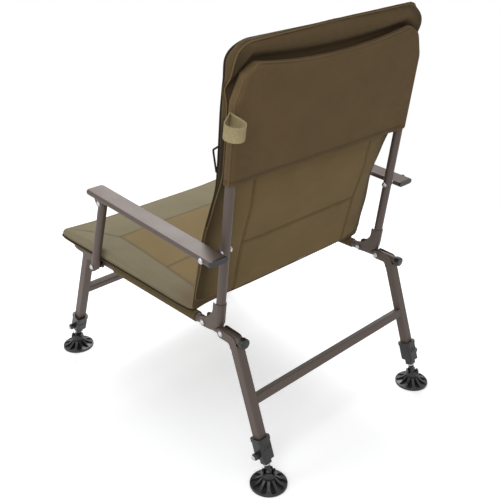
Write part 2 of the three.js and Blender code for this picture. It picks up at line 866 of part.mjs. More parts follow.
// How far the side edges of the rear face are drawn forward
const backWrapShares = [[0, 0.8], [0.15, 0.55], [0.3, 1], [0.43, 0.7], [0.54, 0.1], [0.56, 0], [1, 0]];
const pocketAhead = pocketHalfThickness + backPadGap;

function backHalfWidth(up) {
  const share = (up - backPadFoot) / (backPadTop - backPadFoot);
  const below = THREE.MathUtils.clamp((backPadTop - up) / backPadTopRound, 0, 1);
  const corner = backPadTopRound * (1 - Math.sqrt(1 - (1 - below) ** 2));
  return backPadHalfWidth - backPadWaist * Math.sin(Math.PI * THREE.MathUtils.clamp(share, 0, 1)) - corner;
}

function backSeams(x, up) {
  const beside = Math.abs(x) - backPadSeamHalf;
  const sideSeam = up < pocketFoot ? seamDraw(beside, backPadSeamDepth, backPadSeamWidth) : 0;
  const inside = Math.abs(x) < backPadSeamHalf + backPadSeamWidth;
  const crossSeam = inside ? seamDraw(up - backPadSeamUp, backPadSeamDepth, backPadSeamWidth) : 0;
  return Math.max(sideSeam, crossSeam);
}

function onBackPad(across, up, share, ahead) {
  const lean = share ** 4;
  const x = across * backHalfWidth(up) - backPadTopShift * lean;
  return new THREE.Vector3(x, backTubeOffset - ahead, up - backPadTopTilt * across * lean);
}

function backFront(across, share) {
  const up = THREE.MathUtils.lerp(backPadFoot, backPadTop, share);
  const lengthwise = Math.sin(Math.PI * Math.max(share, backPadCrownShare)) ** (1 / 2);
  const crown = backPadCrown * (1 - across ** 4) * lengthwise;
  const seams = backSeams(across * backHalfWidth(up), up);
  return onBackPad(across, up, share, backPadFrontAhead * tableShare(backFrontShares, share) + crown - seams);
}

function backRear(across, share) {
  const up = THREE.MathUtils.lerp(backPadFoot + backPadHeelRise, backPadTop, share);
  const wrap = backPadWrap * across ** 6 * tableShare(backWrapShares, share);
  const flat = backPadRearAhead * tableShare(backRearShares, share) + wrap;
  const seamed = flat + backSeams(across * backHalfWidth(up), up) / 2;
  return onBackPad(across, up, share, Math.max(seamed, pocketAhead));
}

function backCushion() {
  return paddedForm(mirroredShares(backColumnShares), backRowShares, backFront, backRear);
}

// A band of webbing bent into a drop, with its tip on the side edge of the pocket
function webbingLoop() {
  const outer = roundedOutline([
    [0, 0, loopCloth],
    [loopLength, -loopHalfWidth, loopRound],
    [loopLength, loopHalfWidth, loopRound],
  ]);
  const inset = loopCloth * 3;
  const inner = roundedOutline([
    [inset, 0, loopCloth / 2],
    [loopLength - loopCloth, inset / 2 - loopHalfWidth, loopRound - loopCloth],
    [loopLength - loopCloth, loopHalfWidth - inset / 2, loopRound - loopCloth],
  ]);
  const band = without(
    extruded(outer, -loopBand / 2, loopBand / 2, bendSteps),
    extruded(inner, -loopBand / 2 - cutOverrun, loopBand / 2 + cutOverrun, bendSteps),
  );
  band.rotateY(loopDroop * degree);
  band.rotateZ(loopTurn * degree);
  const tipInward = loopBand / 2 * Math.sin(loopDroop * degree) * Math.cos(loopTurn * degree);
  band.translate(pocketHalfWidth + touchGap + tipInward, backTubeOffset, loopUp);
  return band;
}

function edgeLoop() {
  const sideFace = backHalfWidth(edgeLoopUp) + touchGap + edgeLoopRadius;
  const ahead = backTubeOffset - edgeLoopAhead;
  const corners = [
    new THREE.Vector3(sideFace, ahead, edgeLoopUp),
    new THREE.Vector3(sideFace + edgeLoopReach, ahead, edgeLoopUp + edgeLoopHeight * edgeLoopTopShare),
    new THREE.Vector3(sideFace, ahead, edgeLoopUp + edgeLoopHeight),
  ];
  const outline = new THREE.Shape(circleOutline(edgeLoopRadius, nutSides));
  return swept(outline, bentStations(corners, edgeLoopReach / 6, arcSteps));
}

const backOutside = railHalfSpan + backTubeRadius + touchGap;
const backInside = railHalfSpan - backTubeRadius - touchGap;

// The arm turns on its bolt, which also carries the spacer between tube and arm
function armPivotBolt() {
  return joined(
    boltAcross(backTubeOffset, armPivotUp, armOuter + touchGap, backInside),
    rodAlongX(boltHeadRadius, backOutside, armInner - touchGap, backTubeOffset, armPivotUp),
  );
}

addPart(back, 'back_frame_tube', backFrameTube(), 'frame');
addPair(back, 'back_bracket', backBracket(), 'frame');
addPart(back, 'head_pocket', headPocket(), 'pocket');
addPart(back, 'back_cushion', backCushion(), 'cushion');
addPart(back, 'webbing_loop', webbingLoop(), 'webbing');
addPart(back, 'edge_loop', edgeLoop(), 'black');
addPair(back, 'arm_pivot_bolt', armPivotBolt(), 'zinc');

// The arms and posts make a parallelogram with the back and the seat rails
const armPivot = new THREE.Vector3(0, backTubeOffset, armPivotUp).applyEuler(back.rotation).add(backPivot);
const linkVector = armPivot.clone().sub(backPivot);
const postTop = frontLegPivot.clone().add(linkVector);

const arms = new THREE.Group();
arms.position.copy(armPivot);
arms.rotation.x = -armSlope * degree;
const postOnArm = postTop.clone().sub(armPivot).applyAxisAngle(new THREE.Vector3(1, 0, 0), armSlope * degree);

function ovalOutline(inset) {
  return roundedRectangle(
    armThickness / 2 - inset, armWidth / 2 - inset, armSideRound - inset, 0, (armInner + armOuter) / 2);
}

function armRest() {
  const plan = roundedOutline([
    [armInner, -armFront, armNoseRound],
    [armOuter, -armFront, armNoseRound],
    [armOuter, armRear + cutOverrun],
    [armInner, armRear + cutOverrun],
  ]);
  const oval = endPlate(ovalOutline(0), -armFront, armRear);
  const bar = shared(oval, extruded(plan, -armThickness, armThickness));
  return without(
    bar,
    endPlate(ovalOutline(armWall), armNoseRound - armFront, armRear + cutOverrun),
    boltHole(armInner - cutOverrun, armOuter + cutOverrun, 0, 0),
  );
}

function armRearCap() {
  return joined(
    endPlate(ovalOutline(0), armRear + touchGap, armRear + touchGap + armCapEnd),
    endPlate(ovalOutline(armWall + touchGap), armRear + touchGap + armCapEnd / 2 - armCapPlug,
      armRear + touchGap + armCapEnd / 2),
  );
}

function armBracket() {
  const top = -armThickness / 2 - touchGap;
  const outline = roundedOutline([
    [postOnArm.y - armBracketNose, postOnArm.z - armBracketNose, armBracketNose],
    [postOnArm.y + armBracketNose, postOnArm.z - armBracketNose, armBracketNose],
    [postOnArm.y + armBracketRear, top - armBracketFlare, armBracketNose / 2],
    [postOnArm.y + armBracketRear, top],
    [postOnArm.y - armBracketFront, top],
    [postOnArm.y - armBracketFront, top - armBracketFlare, armBracketNose / 2],
  ]);
  const low = postOnArm.z - armBracketNose - cutOverrun;
  return without(
    sidePlate(outline, postMiddle - armBracketOuterHalf, postMiddle + armBracketOuterHalf),
    box(postMiddle - armBracketInnerHalf, postMiddle + armBracketInnerHalf,
      postOnArm.y - armBracketFront - cutOverrun, postOnArm.y + armBracketRear + cutOverrun,
      low, top - armBracketWall),
    rodAlongX(boltHoleRadius, postMiddle - armBracketOuterHalf - cutOverrun,
      postMiddle + armBracketOuterHalf + cutOverrun, postOnArm.y, postOnArm.z),
  );
}

addPair(arms, 'arm', armRest(), 'frame');
addPair(arms, 'arm_rear_cap', armRearCap(), 'black');
addPair(arms, 'arm_bracket', armBracket(), 'frame');
addPair(arms, 'post_top_bolt', boltAcross(postOnArm.y, postOnArm.z,
  postMiddle + armBracketOuterHalf + touchGap, postMiddle - armBracketOuterHalf - touchGap), 'zinc');

// Posts, measured from their lower pivot with Z along the post
const posts = new THREE.Group();
posts.position.copy(frontLegPivot);
posts.rotation.x = -Math.atan2(linkVector.y, linkVector.z);
const postLength = linkVector.length();

function post() {
  const low = -postEndBelow;
  const high = postLength + postEndAbove;
  const outline = roundedOutline([
    [-postRadius, low, postRadius],
    [postRadius, low, postRadius],
    [postRadius, high, postRadius],
    [-postRadius, high, postRadius],
  ]);
  const left = postMiddle - postRadius - cutOverrun;
  const right = postMiddle + postRadius + cutOverrun;
  const bar = shared(sidePlate(outline, left, right), rodAlongZ(postRadius, low, high, postMiddle, 0));
  return without(
    bar,
    rodAlongZ(postRadius - postWall, low - cutOverrun, high + cutOverrun, postMiddle, 0),
    boltHole(left, right, 0, 0),
    rodAlongX(boltRadius + postBoltGap, left, right, 0, postLength),
  );
}

addPair(posts, 'post', post(), 'frame');

// Legs. One leg is measured from its pivot, with Z along the leg and Y away from the chair's middle.
function legOutlineCorners(leg) {
  const inRail = (along, up) => new THREE.Vector2(along, up).rotateAround(new THREE.Vector2(), leg.railAngle);
  const webLow = leg.railRise - railRadius - touchGap - legWall;
  const innerFace = leg.offset - legHalf;
  const outerFace = leg.offset + legHalf;
  // Along the rail, how far each leg face lies from the pivot at a height over the rail's own line
  const alongAt = (face, up) => (face + up * Math.sin(leg.railAngle)) / Math.cos(leg.railAngle);
  const nose = legHeadNose;
  const place = (along, up, radius) => [...inRail(along, up).toArray(), radius];
  return [
    place(-nose, -nose, nose * noseRoundShare),
    place(alongAt(innerFace, webLow), webLow, legBendRound),
    [innerFace, -legHeadDepth, 0],
    [outerFace, -legHeadDepth, 0],
    place(alongAt(outerFace, legHeadTop), legHeadTop, legHeadRound),
    place(-nose, nose, nose * noseRoundShare),
  ];
}

function outerLeg(leg) {
  const head = sidePlate(roundedOutline(legOutlineCorners(leg)), -legHalf, legHalf);
  const tubeEnd = collarTubeSeat + collarBottom - leg.reach;
  const section = roundedRectangle(legHalf, legHalf, legCorner, 0, leg.offset);
  const tube = extruded(section, tubeEnd, -legHeadDepth + cutOverrun);
  const far = leg.offset + legWidth * 2;
  const railLine = leg.railRise - railRadius - touchGap;
  const aboveRail = box(-legInnerHalf, legInnerHalf, -far, far, railLine, far);
  aboveRail.rotateX(leg.railAngle);
  const aheadOfWeb = box(-legInnerHalf, legInnerHalf, -far, legWebStart, -far, far);
  aheadOfWeb.rotateX(leg.railAngle);
  const innerCorner = legCorner - legWall;
  const bore = extruded(roundedRectangle(legInnerHalf, legInnerHalf, innerCorner, 0, leg.offset),
    tubeEnd - cutOverrun, 0);
  const pivotHole = boltHole(-legHalf - cutOverrun, legHalf + cutOverrun, 0, 0);
  return without(joined(head, tube), aboveRail, aheadOfWeb, bore, pivotHole);
}

function legCollar(leg) {
  const low = collarBottom - leg.reach;
  const high = collarTop - leg.reach;
  const half = collarWidth / 2;
  const lipHalf = half + collarLipProud;
  const sleeve = extruded(roundedRectangle(half, half, collarCorner, 0, leg.offset), low, high);
  const lip = extruded(roundedRectangle(lipHalf, lipHalf, collarCorner + collarLipProud, 0, leg.offset),
    high - collarLipHeight, high + collarLipRise);
  const pinUp = low + pinAbove + collarSlant;
  const boss = rodAlongX(collarBossRadius, 0, half + collarBossLength, leg.offset, pinUp, tubeSides);
  const slant = box(-half - cutOverrun, half + cutOverrun, -collarWidth, collarWidth, -collarWidth, 0);
  slant.rotateX(-Math.atan2(collarSlant, collarWidth));
  slant.translate(0, leg.offset + half, low);
  const ribTools = [];
  for (let rib = 0; rib < collarRibCount; rib += 1) {
    const across = (rib - (collarRibCount - 1) / 2) * collarRibPitch;
    const from = low + pinAbove * 2 + collarSlant;
    [-1, 1].forEach((side) => {
      const face = side * half;
      ribTools.push(box(across - collarRibWidth / 2, across + collarRibWidth / 2,
        leg.offset + face - collarRibDepth, leg.offset + face + collarRibDepth, from, high - collarRibTop));
    });
  }
  const seatHalf = legHalf + touchGap;
  const slideHalf = innerLegHalf + touchGap;
  const tubeSeat = low + collarTubeSeat - touchGap;
  return without(
    joined(sleeve, lip, boss),
    slant,
    extruded(roundedRectangle(seatHalf, seatHalf, legCorner, 0, leg.offset), tubeSeat, high + cutOverrun * 2),
    extruded(roundedRectangle(slideHalf, slideHalf, innerLegCorner, 0, leg.offset),
      low - cutOverrun, tubeSeat + cutOverrun),
    rodAlongX(pinRadius + pinHoleGap, 0, half + collarBossLength + cutOverrun, leg.offset, pinUp),
    ...ribTools,
  );
}

function innerLeg(leg) {
  const foot = innerLegFoot - leg.reach;
  const top = collarBottom + innerLegInside - leg.reach;
  const section = roundedRectangle(innerLegHalf, innerLegHalf, innerLegCorner, 0, leg.offset);
  const tube = extruded(section, foot, top);
  const wallHalf = innerLegHalf - innerLegWall;
  const bore = extruded(roundedRectangle(wallHalf, wallHalf, innerLegCorner / 2, 0, leg.offset),
    foot + innerLegPlug, top + cutOverrun);
  const ball = new THREE.SphereGeometry(ballRadius, ballSides, ballRings);
  ball.rotateX(turn / 4);
  ball.translate(0, leg.offset, -leg.reach);
  const neck = rodAlongZ(ballNeckRadius, -leg.reach, foot + innerLegCorner, 0, leg.offset, ballSides);
  return joined(without(tube, bore), ball, neck);
}

function pullPin(leg) {
  const pinUp = collarBottom - leg.reach + pinAbove + collarSlant;
  const knobFrom = collarWidth / 2 + collarBossLength + touchGap;
  const tail = knobFrom + pinKnobLength + pinTailLength;
  return rodAlongX(pinRadius, innerLegHalf + touchGap, tail, leg.offset, pinUp);
}

function pullKnob(leg) {
  const pinUp = collarBottom - leg.reach + pinAbove + collarSlant;
  const from = collarWidth / 2 + collarBossLength + touchGap;
  const to = from + pinKnobLength;
  const bore = pinRadius + pinHoleGap;
  const knob = turnedAboutX([
    [bore, from],
    [pinKnobRadius - pinKnobRound, from],
    [pinKnobRadius, from + pinKnobRound],
    [pinKnobRadius, to - pinKnobRound],
    [pinKnobRadius - pinKnobRound, to],
    [bore, to],
    [bore, from],
  ], washerSides);
  knob.translate(0, leg.offset, pinUp);
  return knob;
}

// One foot, measured from its ball
function ballFoot() {
  const floor = -footBallHeight;
  const cup = clearRadius(ballRadius + footCupGap, footCupSteps * 3);
  const mouthRadius = Math.sqrt(cup ** 2 - footCupMouth ** 2);
  const cupPoints = [];
  const mouthAngle = Math.atan2(footCupMouth, mouthRadius);
  for (let step = 0; step <= footCupSteps; step += 1) {
    const angle = THREE.MathUtils.lerp(-turn / 4, mouthAngle, step / footCupSteps);
    cupPoints.push([Math.max(cup * Math.cos(angle), 0), cup * Math.sin(angle)]);
  }
  cupPoints[0][0] = 0;
  const hubTop = floor + footHubTop;
  const body = turnedAboutZ([
    ...cupPoints,
    [mouthRadius + footCupLead, hubTop],
    [footHubRadius - footHubRound, hubTop],
    [footHubRadius, hubTop - footHubRound],
    [footHubRadius, floor + footConeTop],
    [footRadius - footRimRound, floor + footRim],
    [footRadius, floor + footRim - footRimRound],
    [footRadius, floor],
    [0, floor],
  ], footSides);
  const tools = [];
  for (let slot = 0; slot < footSlotCount; slot += 1) {
    const angle = (slot + 1 / 2) * turn / footSlotCount;
    const groove = box(footSlotInner, footSlotOuter, -footSlotWidth / 2, footSlotWidth / 2,
      floor + footSlotFloor, floor + footConeTop + cutOverrun);
    groove.rotateZ(angle);
    tools.push(groove);
  }
  return without(body, ...tools);
}

function legReach(pivot, lean, offset) {
  return (pivot.z - footBallHeight + offset * Math.sin(lean)) / Math.cos(lean);
}

function crossbar(leg, height) {
  const rise = (height - footBallHeight) / Math.cos(leg.lean);
  const up = rise - leg.reach;
  const end = railHalfSpan - legHalf - touchGap;
  const half = barWidth / 2;
  const inner = half - barWall;
  return without(
    sidePlate(roundedRectangle(half, half, barCorner, leg.offset, up), -end, end),
    sidePlate(
      roundedRectangle(inner, inner, barCorner - barWall, leg.offset, up),
      -end - cutOverrun, end + cutOverrun),
  );
}

function addLegs(root, row, leg, pivot, barHeight) {
  leg.reach = legReach(pivot, leg.lean, leg.offset);
  const frame = new THREE.Group();
  frame.position.copy(pivot);
  frame.rotation.set(leg.lean * leg.facing, 0, 0);
  const turnedFrame = new THREE.Group();
  turnedFrame.rotation.z = leg.facing > 0 ? 0 : turn / 2;
  frame.add(turnedFrame);
  const outer = outerLeg(leg);
  const collar = legCollar(leg);
  const inner = innerLeg(leg);
  const pin = pullPin(leg);
  const knob = pullKnob(leg);
  const foot = ballFoot();
  [['left', leg.facing], ['right', -leg.facing]].forEach(([side, facing]) => {
    const hand = new THREE.Group();
    hand.position.x = railHalfSpan * facing;
    turnedFrame.add(hand);
    const handed = (geometry) => (facing > 0 ? geometry : mirrored(geometry));
    addPart(hand, `${row}_leg_${side}`, outer, 'frame');
    addPart(hand, `${row}_collar_${side}`, handed(collar), 'black');
    addPart(hand, `${row}_inner_leg_${side}`, inner, 'frame');
    addPart(hand, `${row}_pull_pin_${side}`, handed(pin), 'zinc');
    addPart(hand, `${row}_pull_knob_${side}`, handed(knob), 'black');
    const ankle = new THREE.Group();
    ankle.position.set(0, leg.offset, -leg.reach);
    ankle.rotation.x = -leg.lean;
    hand.add(ankle);
    addPart(ankle, `${row}_foot_${side}`, foot, 'black');
  });
  addPart(turnedFrame, `${row}_crossbar`, crossbar(leg, barHeight), 'frame');
  root.add(frame);
}

const chair = new THREE.Group();
chair.name = 'fishing_chair';
chair.add(seat, back, arms, posts);

addLegs(chair, 'rear', {
  facing: 1,
  lean: rearLegLean * degree,
  offset: rearLegOffset,
  railAngle: -(rearLegLean + railSlope) * degree,
  railRise: -rearLegPivotRise,
}, rearLegPivot, rearBarHeight);

addLegs(chair, 'front', {
  facing: -1,
  lean: frontLegLean * degree,
  offset: frontLegOffset,
  railAngle: -(frontLegLean - railSlope) * degree,
  railRise: -frontLegPivotRise,
}, frontLegPivot, frontBarHeight);

export default chair;
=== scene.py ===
from functools import partial
import json
import math

import bpy
import numpy as np
from mathutils import Matrix, Vector, noise

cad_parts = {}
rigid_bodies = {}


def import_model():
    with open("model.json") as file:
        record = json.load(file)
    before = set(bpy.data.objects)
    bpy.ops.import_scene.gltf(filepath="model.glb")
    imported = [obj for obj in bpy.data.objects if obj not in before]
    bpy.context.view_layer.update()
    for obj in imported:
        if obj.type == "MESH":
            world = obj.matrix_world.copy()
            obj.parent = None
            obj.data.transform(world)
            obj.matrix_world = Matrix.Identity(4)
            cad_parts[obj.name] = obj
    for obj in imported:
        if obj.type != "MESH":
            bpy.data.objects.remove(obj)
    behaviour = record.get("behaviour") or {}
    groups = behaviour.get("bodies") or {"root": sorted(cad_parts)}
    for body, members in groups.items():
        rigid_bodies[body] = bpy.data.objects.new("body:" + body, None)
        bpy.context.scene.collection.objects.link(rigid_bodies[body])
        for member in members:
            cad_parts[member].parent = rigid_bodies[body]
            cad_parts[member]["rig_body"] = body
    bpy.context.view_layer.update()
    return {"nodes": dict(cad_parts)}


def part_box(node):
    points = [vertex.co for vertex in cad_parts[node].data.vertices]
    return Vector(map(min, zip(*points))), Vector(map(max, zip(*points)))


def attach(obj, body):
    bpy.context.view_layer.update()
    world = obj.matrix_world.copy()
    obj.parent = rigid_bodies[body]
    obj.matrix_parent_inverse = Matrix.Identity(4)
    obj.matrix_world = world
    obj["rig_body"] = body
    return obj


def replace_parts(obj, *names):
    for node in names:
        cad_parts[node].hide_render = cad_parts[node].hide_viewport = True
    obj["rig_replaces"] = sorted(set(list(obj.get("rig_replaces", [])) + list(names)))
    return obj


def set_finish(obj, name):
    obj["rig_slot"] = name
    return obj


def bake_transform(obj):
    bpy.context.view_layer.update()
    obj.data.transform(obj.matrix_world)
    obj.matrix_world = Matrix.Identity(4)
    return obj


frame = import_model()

# Lengths are in millimetres until a piece is settled in the chair's frame, in metres
MILLIMETRE = 0.001
NODES = frame["nodes"]
SIDES = (("left", 1), ("right", -1))
ROWS = ("rear", "front")

# Camera
CAMERA_PLACE = (1.1763, 1.2778, 1.2037)
CAMERA_TARGET = (-0.032, 0.0175, 0.3501)
CAMERA_ROLL = -0.3
CAMERA_LENS = 53.04
CAMERA_SENSOR = 36.0
CAMERA_REACH = 50

# Lamps: name, place in metres, power in watts and size in metres, all turned to one target
LAMP_TARGET = (0, 0, 0.45)
LAMPS = (
    ("key_lamp", (-1.5, -1.9, 3.0), 74, 1.8),
    ("fill_lamp", (2.6, 2.0, 2.4), 34, 2.4),
    ("top_lamp", (0.5, 0.4, 3.4), 16, 1.6),
    ("low_lamp", (2.8, 2.4, 0.9), 8, 1.6),
    ("side_lamp", (3.0, -0.8, 1.5), 18, 1.4),
)
WORLD_COLOUR = (0.9, 0.92, 0.95)
WORLD_STRENGTH = 0.5
WHITE = (1.0, 1.0, 1.0)

# Floor, in metres: it is plain white where it lies further off than its shadow
FLOOR_RADIUS = 15
FLOOR_DROP = 0.0005
FLOOR_PAPER = (0.9, 0.9, 0.9)
FLOOR_GLOW = 0.36
SHADOW_REACH = 0.95
WHITE_REACH = 1.7

# Places that the frame gives
RAIL_HALF_SPAN = 275.0
RAIL_HEIGHT = 343.5
RAIL_SLOPE = 0.79
BACK_PIVOT = (0.0, 196.525, 343.990)
BACK_RECLINE = 7.3
BACK_TUBE_OFFSET = 42.2
FRONT_PIVOT = (0.0, -201.506, 344.478)
REAR_PIVOT = (0.0, 255.476, 339.977)
ARM_PIVOT = (0.0, 264.050, 538.991)
ARM_SLOPE = 4.5
REAR_LEAN = 18.78
FRONT_LEAN = 20.7
REAR_OFFSET = 33.0
FRONT_OFFSET = 70.7
REAR_REACH = 334.4
FRONT_REACH = 358.6


def turned(angle, axis="X"):
    return Matrix.Rotation(math.radians(angle), 4, axis)


SEAT = Matrix.Translation((0, 0, RAIL_HEIGHT)) @ turned(-RAIL_SLOPE)
BACK = Matrix.Translation(BACK_PIVOT) @ turned(-BACK_RECLINE)
ARM = Matrix.Translation(ARM_PIVOT) @ turned(-ARM_SLOPE)
LINK = Vector(ARM_PIVOT) - Vector(BACK_PIVOT)
POST = Matrix.Translation(FRONT_PIVOT) @ turned(-math.degrees(math.atan2(LINK.y, LINK.z)))
REAR_LEG = Matrix.Translation(REAR_PIVOT) @ turned(REAR_LEAN)
FRONT_LEG = Matrix.Translation(FRONT_PIVOT) @ turned(-FRONT_LEAN) @ turned(180, "Z")


# Shader nodes
def feed(tree, socket, value):
    """Link a socket to another node's output, or set its own number or colour."""
    if isinstance(value, bpy.types.NodeSocket):
        tree.links.new(value, socket)
    elif isinstance(value, tuple):
        socket.default_value = (*value, 1)
    else:
        socket.default_value = value


def add_node(tree, kind, inputs, **settings):
    """A node with its settings, and its inputs by label or by place."""
    node = tree.nodes.new("ShaderNode" + kind)
    for label, value in settings.items():
        setattr(node, label, value)
    for label, value in inputs.items():
        feed(tree, node.inputs[label], value)
    return node


def math_node(tree, operation, *values):
    return add_node(tree, "Math", dict(enumerate(values)), operation=operation).outputs[0]


def noise_node(tree, place, scale, detail, roughness=0.55):
    inputs = {"Vector": place, "Scale": scale, "Detail": detail, "Roughness": roughness}
    return add_node(tree, "TexNoise", inputs).outputs["Fac"]


def mixed(tree, mask, first, second):
    """The first colour where the mask is 0, the second where it is 1."""
    return add_node(tree, "Mix", {"Factor": mask, 6: first, 7: second}, data_type="RGBA").outputs[2]


def ranged(tree, value, low, high, from_low=0.3, from_high=0.7):
    inputs = {"Value": value, "From Min": from_low, "From Max": from_high, "To Min": low, "To Max": high}
    return add_node(tree, "MapRange", inputs).outputs["Result"]


def bumped(tree, height, distance):
    inputs = {"Strength": 1.0, "Distance": distance, "Height": height}
    return add_node(tree, "Bump", inputs).outputs["Normal"]


def new_material(name):
    material = bpy.data.materials.new(name)
    material.use_nodes = True
    return material, material.node_tree, material.node_tree.nodes["Principled BSDF"]


def seen_directly(tree):
    """1 for rays from the camera and for what metal shows, 0 for the light on the chair."""
    path = add_node(tree, "LightPath", {})
    seen = path.outputs["Is Camera Ray"]
    for ray in ("Is Glossy Ray", "Is Transmission Ray"):
        seen = math_node(tree, "MAXIMUM", seen, path.outputs[ray])
    return seen


def mixed_light(tree, mask, first, second):
    return add_node(tree, "MixShader", {0: mask, 1: first, 2: second}).outputs[0]


# Camera, lamps and floor
def aim(thing, place, target):
    thing.location = place
    thing.rotation_mode = "QUATERNION"
    thing.rotation_quaternion = (Vector(target) - Vector(place)).to_track_quat("-Z", "Y")


def make_camera():
    bpy.ops.object.camera_add()
    camera = bpy.context.object
    camera.name = "photo_camera"
    aim(camera, CAMERA_PLACE, CAMERA_TARGET)
    camera.rotation_quaternion = camera.rotation_quaternion @ turned(CAMERA_ROLL, "Z").to_quaternion()
    camera.data.lens = CAMERA_LENS
    camera.data.sensor_width = CAMERA_SENSOR
    camera.data.clip_end = CAMERA_REACH
    bpy.context.scene.camera = camera


def make_lamps():
    for name, place, power, size in LAMPS:
        bpy.ops.object.light_add(type="AREA")
        lamp = bpy.context.object
        lamp.name = name
        aim(lamp, place, LAMP_TARGET)
        lamp.data.energy = power
        lamp.data.size = size
        lamp.data.shape = "DISK"


def make_world():
    """Even pale light, seen as plain white."""
    scene = bpy.context.scene
    scene.view_settings.view_transform = "Standard"
    scene.world = bpy.data.worlds.new("studio_world")
    scene.world.use_nodes = True
    tree = scene.world.node_tree
    light = tree.nodes["Background"]
    feed(tree, light.inputs["Color"], WORLD_COLOUR)
    feed(tree, light.inputs["Strength"], WORLD_STRENGTH)
    white = add_node(tree, "Background", {"Color": WHITE}).outputs[0]
    shown = mixed_light(tree, seen_directly(tree), light.outputs[0], white)
    feed(tree, tree.nodes["World Output"].inputs["Surface"], shown)


def make_floor():
    """A white sheet that takes the chair's soft shadow close by and is plain white further off."""
    bpy.ops.mesh.primitive_circle_add(vertices=96, radius=FLOOR_RADIUS, fill_type="NGON")
    floor = bpy.context.object
    floor.name = "studio_floor"
    floor.location.z = -FLOOR_DROP
    material, tree, shader = new_material("studio_floor_paper")
    for label, value in (("Base Color", FLOOR_PAPER), ("Roughness", 0.9), ("Specular IOR Level", 0.1)):
        feed(tree, shader.inputs[label], value)
    paper = shader.outputs[0]
    place = add_node(tree, "TexCoord", {}).outputs["Object"]
    length = add_node(tree, "VectorMath", {0: place}, operation="LENGTH").outputs["Value"]
    reach = {"Value": length, "From Min": SHADOW_REACH, "From Max": WHITE_REACH}
    far = add_node(tree, "MapRange", reach, interpolation_type="SMOOTHSTEP").outputs["Result"]
    glow = add_node(tree, "Emission", {"Strength": FLOOR_GLOW}).outputs[0]
    lit = add_node(tree, "AddShader", {0: paper, 1: glow}).outputs[0]
    white = add_node(tree, "Emission", {"Strength": 1.0}).outputs[0]
    shown = mixed_light(tree, seen_directly(tree), paper, mixed_light(tree, far, lit, white))
    feed(tree, tree.nodes["Material Output"].inputs["Surface"], shown)
    floor.data.materials.append(material)


make_camera()
make_world()
make_lamps()
make_floor()


# Shader groups, built once and placed in each material with their own values
def new_group(name, inputs, outputs):
    """A group whose inputs without a value are vectors, and whose other sockets are numbers."""
    group = bpy.data.node_groups.new(name, "ShaderNodeTree")
    for label, value in inputs.items():
        kind = "NodeSocketVector" if value is None else "NodeSocketFloat"
        socket = group.interface.new_socket(label, in_out="INPUT", socket_type=kind)
        if value is not None:
            socket.default_value = value
    for label in outputs:
        group.interface.new_socket(label, in_out="OUTPUT", socket_type="NodeSocketFloat")
    given = group.nodes.new("NodeGroupInput").outputs
    result = group.nodes.new("NodeGroupOutput").inputs
    return group, partial(math_node, group), given, result


def shared_out(calc, first, share, second):
    """A share of the first value, and the second for the rest."""
    return calc("ADD", calc("MULTIPLY", first, share), calc("MULTIPLY", second, 1 - share))


def weave_group():
    """Threads that cross, with slubs, from a place on the cloth given in metres."""
    group, calc, given, result = new_group(
        "woven_threads", {"Place": None, "Threads": 900.0, "Slub": 0.4}, ("Height", "Shade"))
    parts = add_node(group, "SeparateXYZ", {0: given["Place"]}).outputs
    rate = calc("MULTIPLY", given["Threads"], 2 * math.pi)
    warp = calc("SINE", calc("MULTIPLY", parts["X"], rate))
    weft = calc("SINE", calc("MULTIPLY", parts["Y"], rate))
    slubs = noise_node(group, given["Place"], 260.0, 2.0)
    cloud = noise_node(group, given["Place"], 9.0, 4.0)
    height = calc("ADD", calc("MULTIPLY", warp, weft), calc("MULTIPLY", slubs, given["Slub"]))
    feed(group, result["Height"], height)
    feed(group, result["Shade"], shared_out(calc, slubs, 0.35, cloud))
    return group


def stitch_group():
    """A dashed line of thread, 1 on it, from the distance to its line and the length along it, in metres."""
    group, calc, given, result = new_group(
        "sewn_stitches", {"Distance": 0.0, "Along": 0.0, "Thread": 0.0008, "Pitch": 0.004}, ("Mask",))
    near = calc("LESS_THAN", calc("ABSOLUTE", given["Distance"]), given["Thread"])
    step = calc("DIVIDE", given["Along"], given["Pitch"])
    dash = calc("LESS_THAN", calc("FRACT", step), 0.68)
    feed(group, result["Mask"], calc("MULTIPLY", near, dash))
    return group


def grain_group():
    """Fine grain and broad clouding of a coated or moulded surface."""
    group, calc, given, result = new_group(
        "fine_grain", {"Place": None, "Grain": 1400.0, "Cloud": 14.0}, ("Height", "Shade"))
    grain = noise_node(group, given["Place"], given["Grain"], 2.0)
    cloud = noise_node(group, given["Place"], given["Cloud"], 5.0)
    feed(group, result["Height"], grain)
    feed(group, result["Shade"], shared_out(calc, grain, 0.3, cloud))
    return group


def wear_and_edge_light_group():
    """Where edges are worn, and where a painted highlight lies along them, from how far a rounded normal
    leaves the surface's own.
    """
    group, calc, given, result = new_group("edge_wear_and_light", {"Place": None, "Edge": 0.06}, ("Mask",))
    rounded = add_node(group, "Bevel", {"Radius": 0.0012}, samples=4).outputs["Normal"]
    facing = add_node(group, "NewGeometry", {}).outputs["Normal"]
    along = add_node(group, "VectorMath", {0: rounded, 1: facing}, operation="DOT_PRODUCT")
    scratch = noise_node(group, given["Place"], 220.0, 4.0, 0.7)
    turn = calc("SUBTRACT", 1.0, along.outputs["Value"])
    edge = calc("MINIMUM", calc("DIVIDE", turn, given["Edge"]), 1.0)
    feed(group, result["Mask"], calc("MULTIPLY", edge, scratch))
    return group


WEAVE = weave_group()
STITCH = stitch_group()
GRAIN = grain_group()
WEAR_AND_EDGE_LIGHT = wear_and_edge_light_group()


def place_group(tree, group, **inputs):
    node = tree.nodes.new("ShaderNodeGroup")
    node.node_tree = group
    for label, value in inputs.items():
        feed(tree, node.inputs[label], value)
    return node.outputs


def shaded(colour, level):
    return tuple(min(1, value * level) for value in colour)


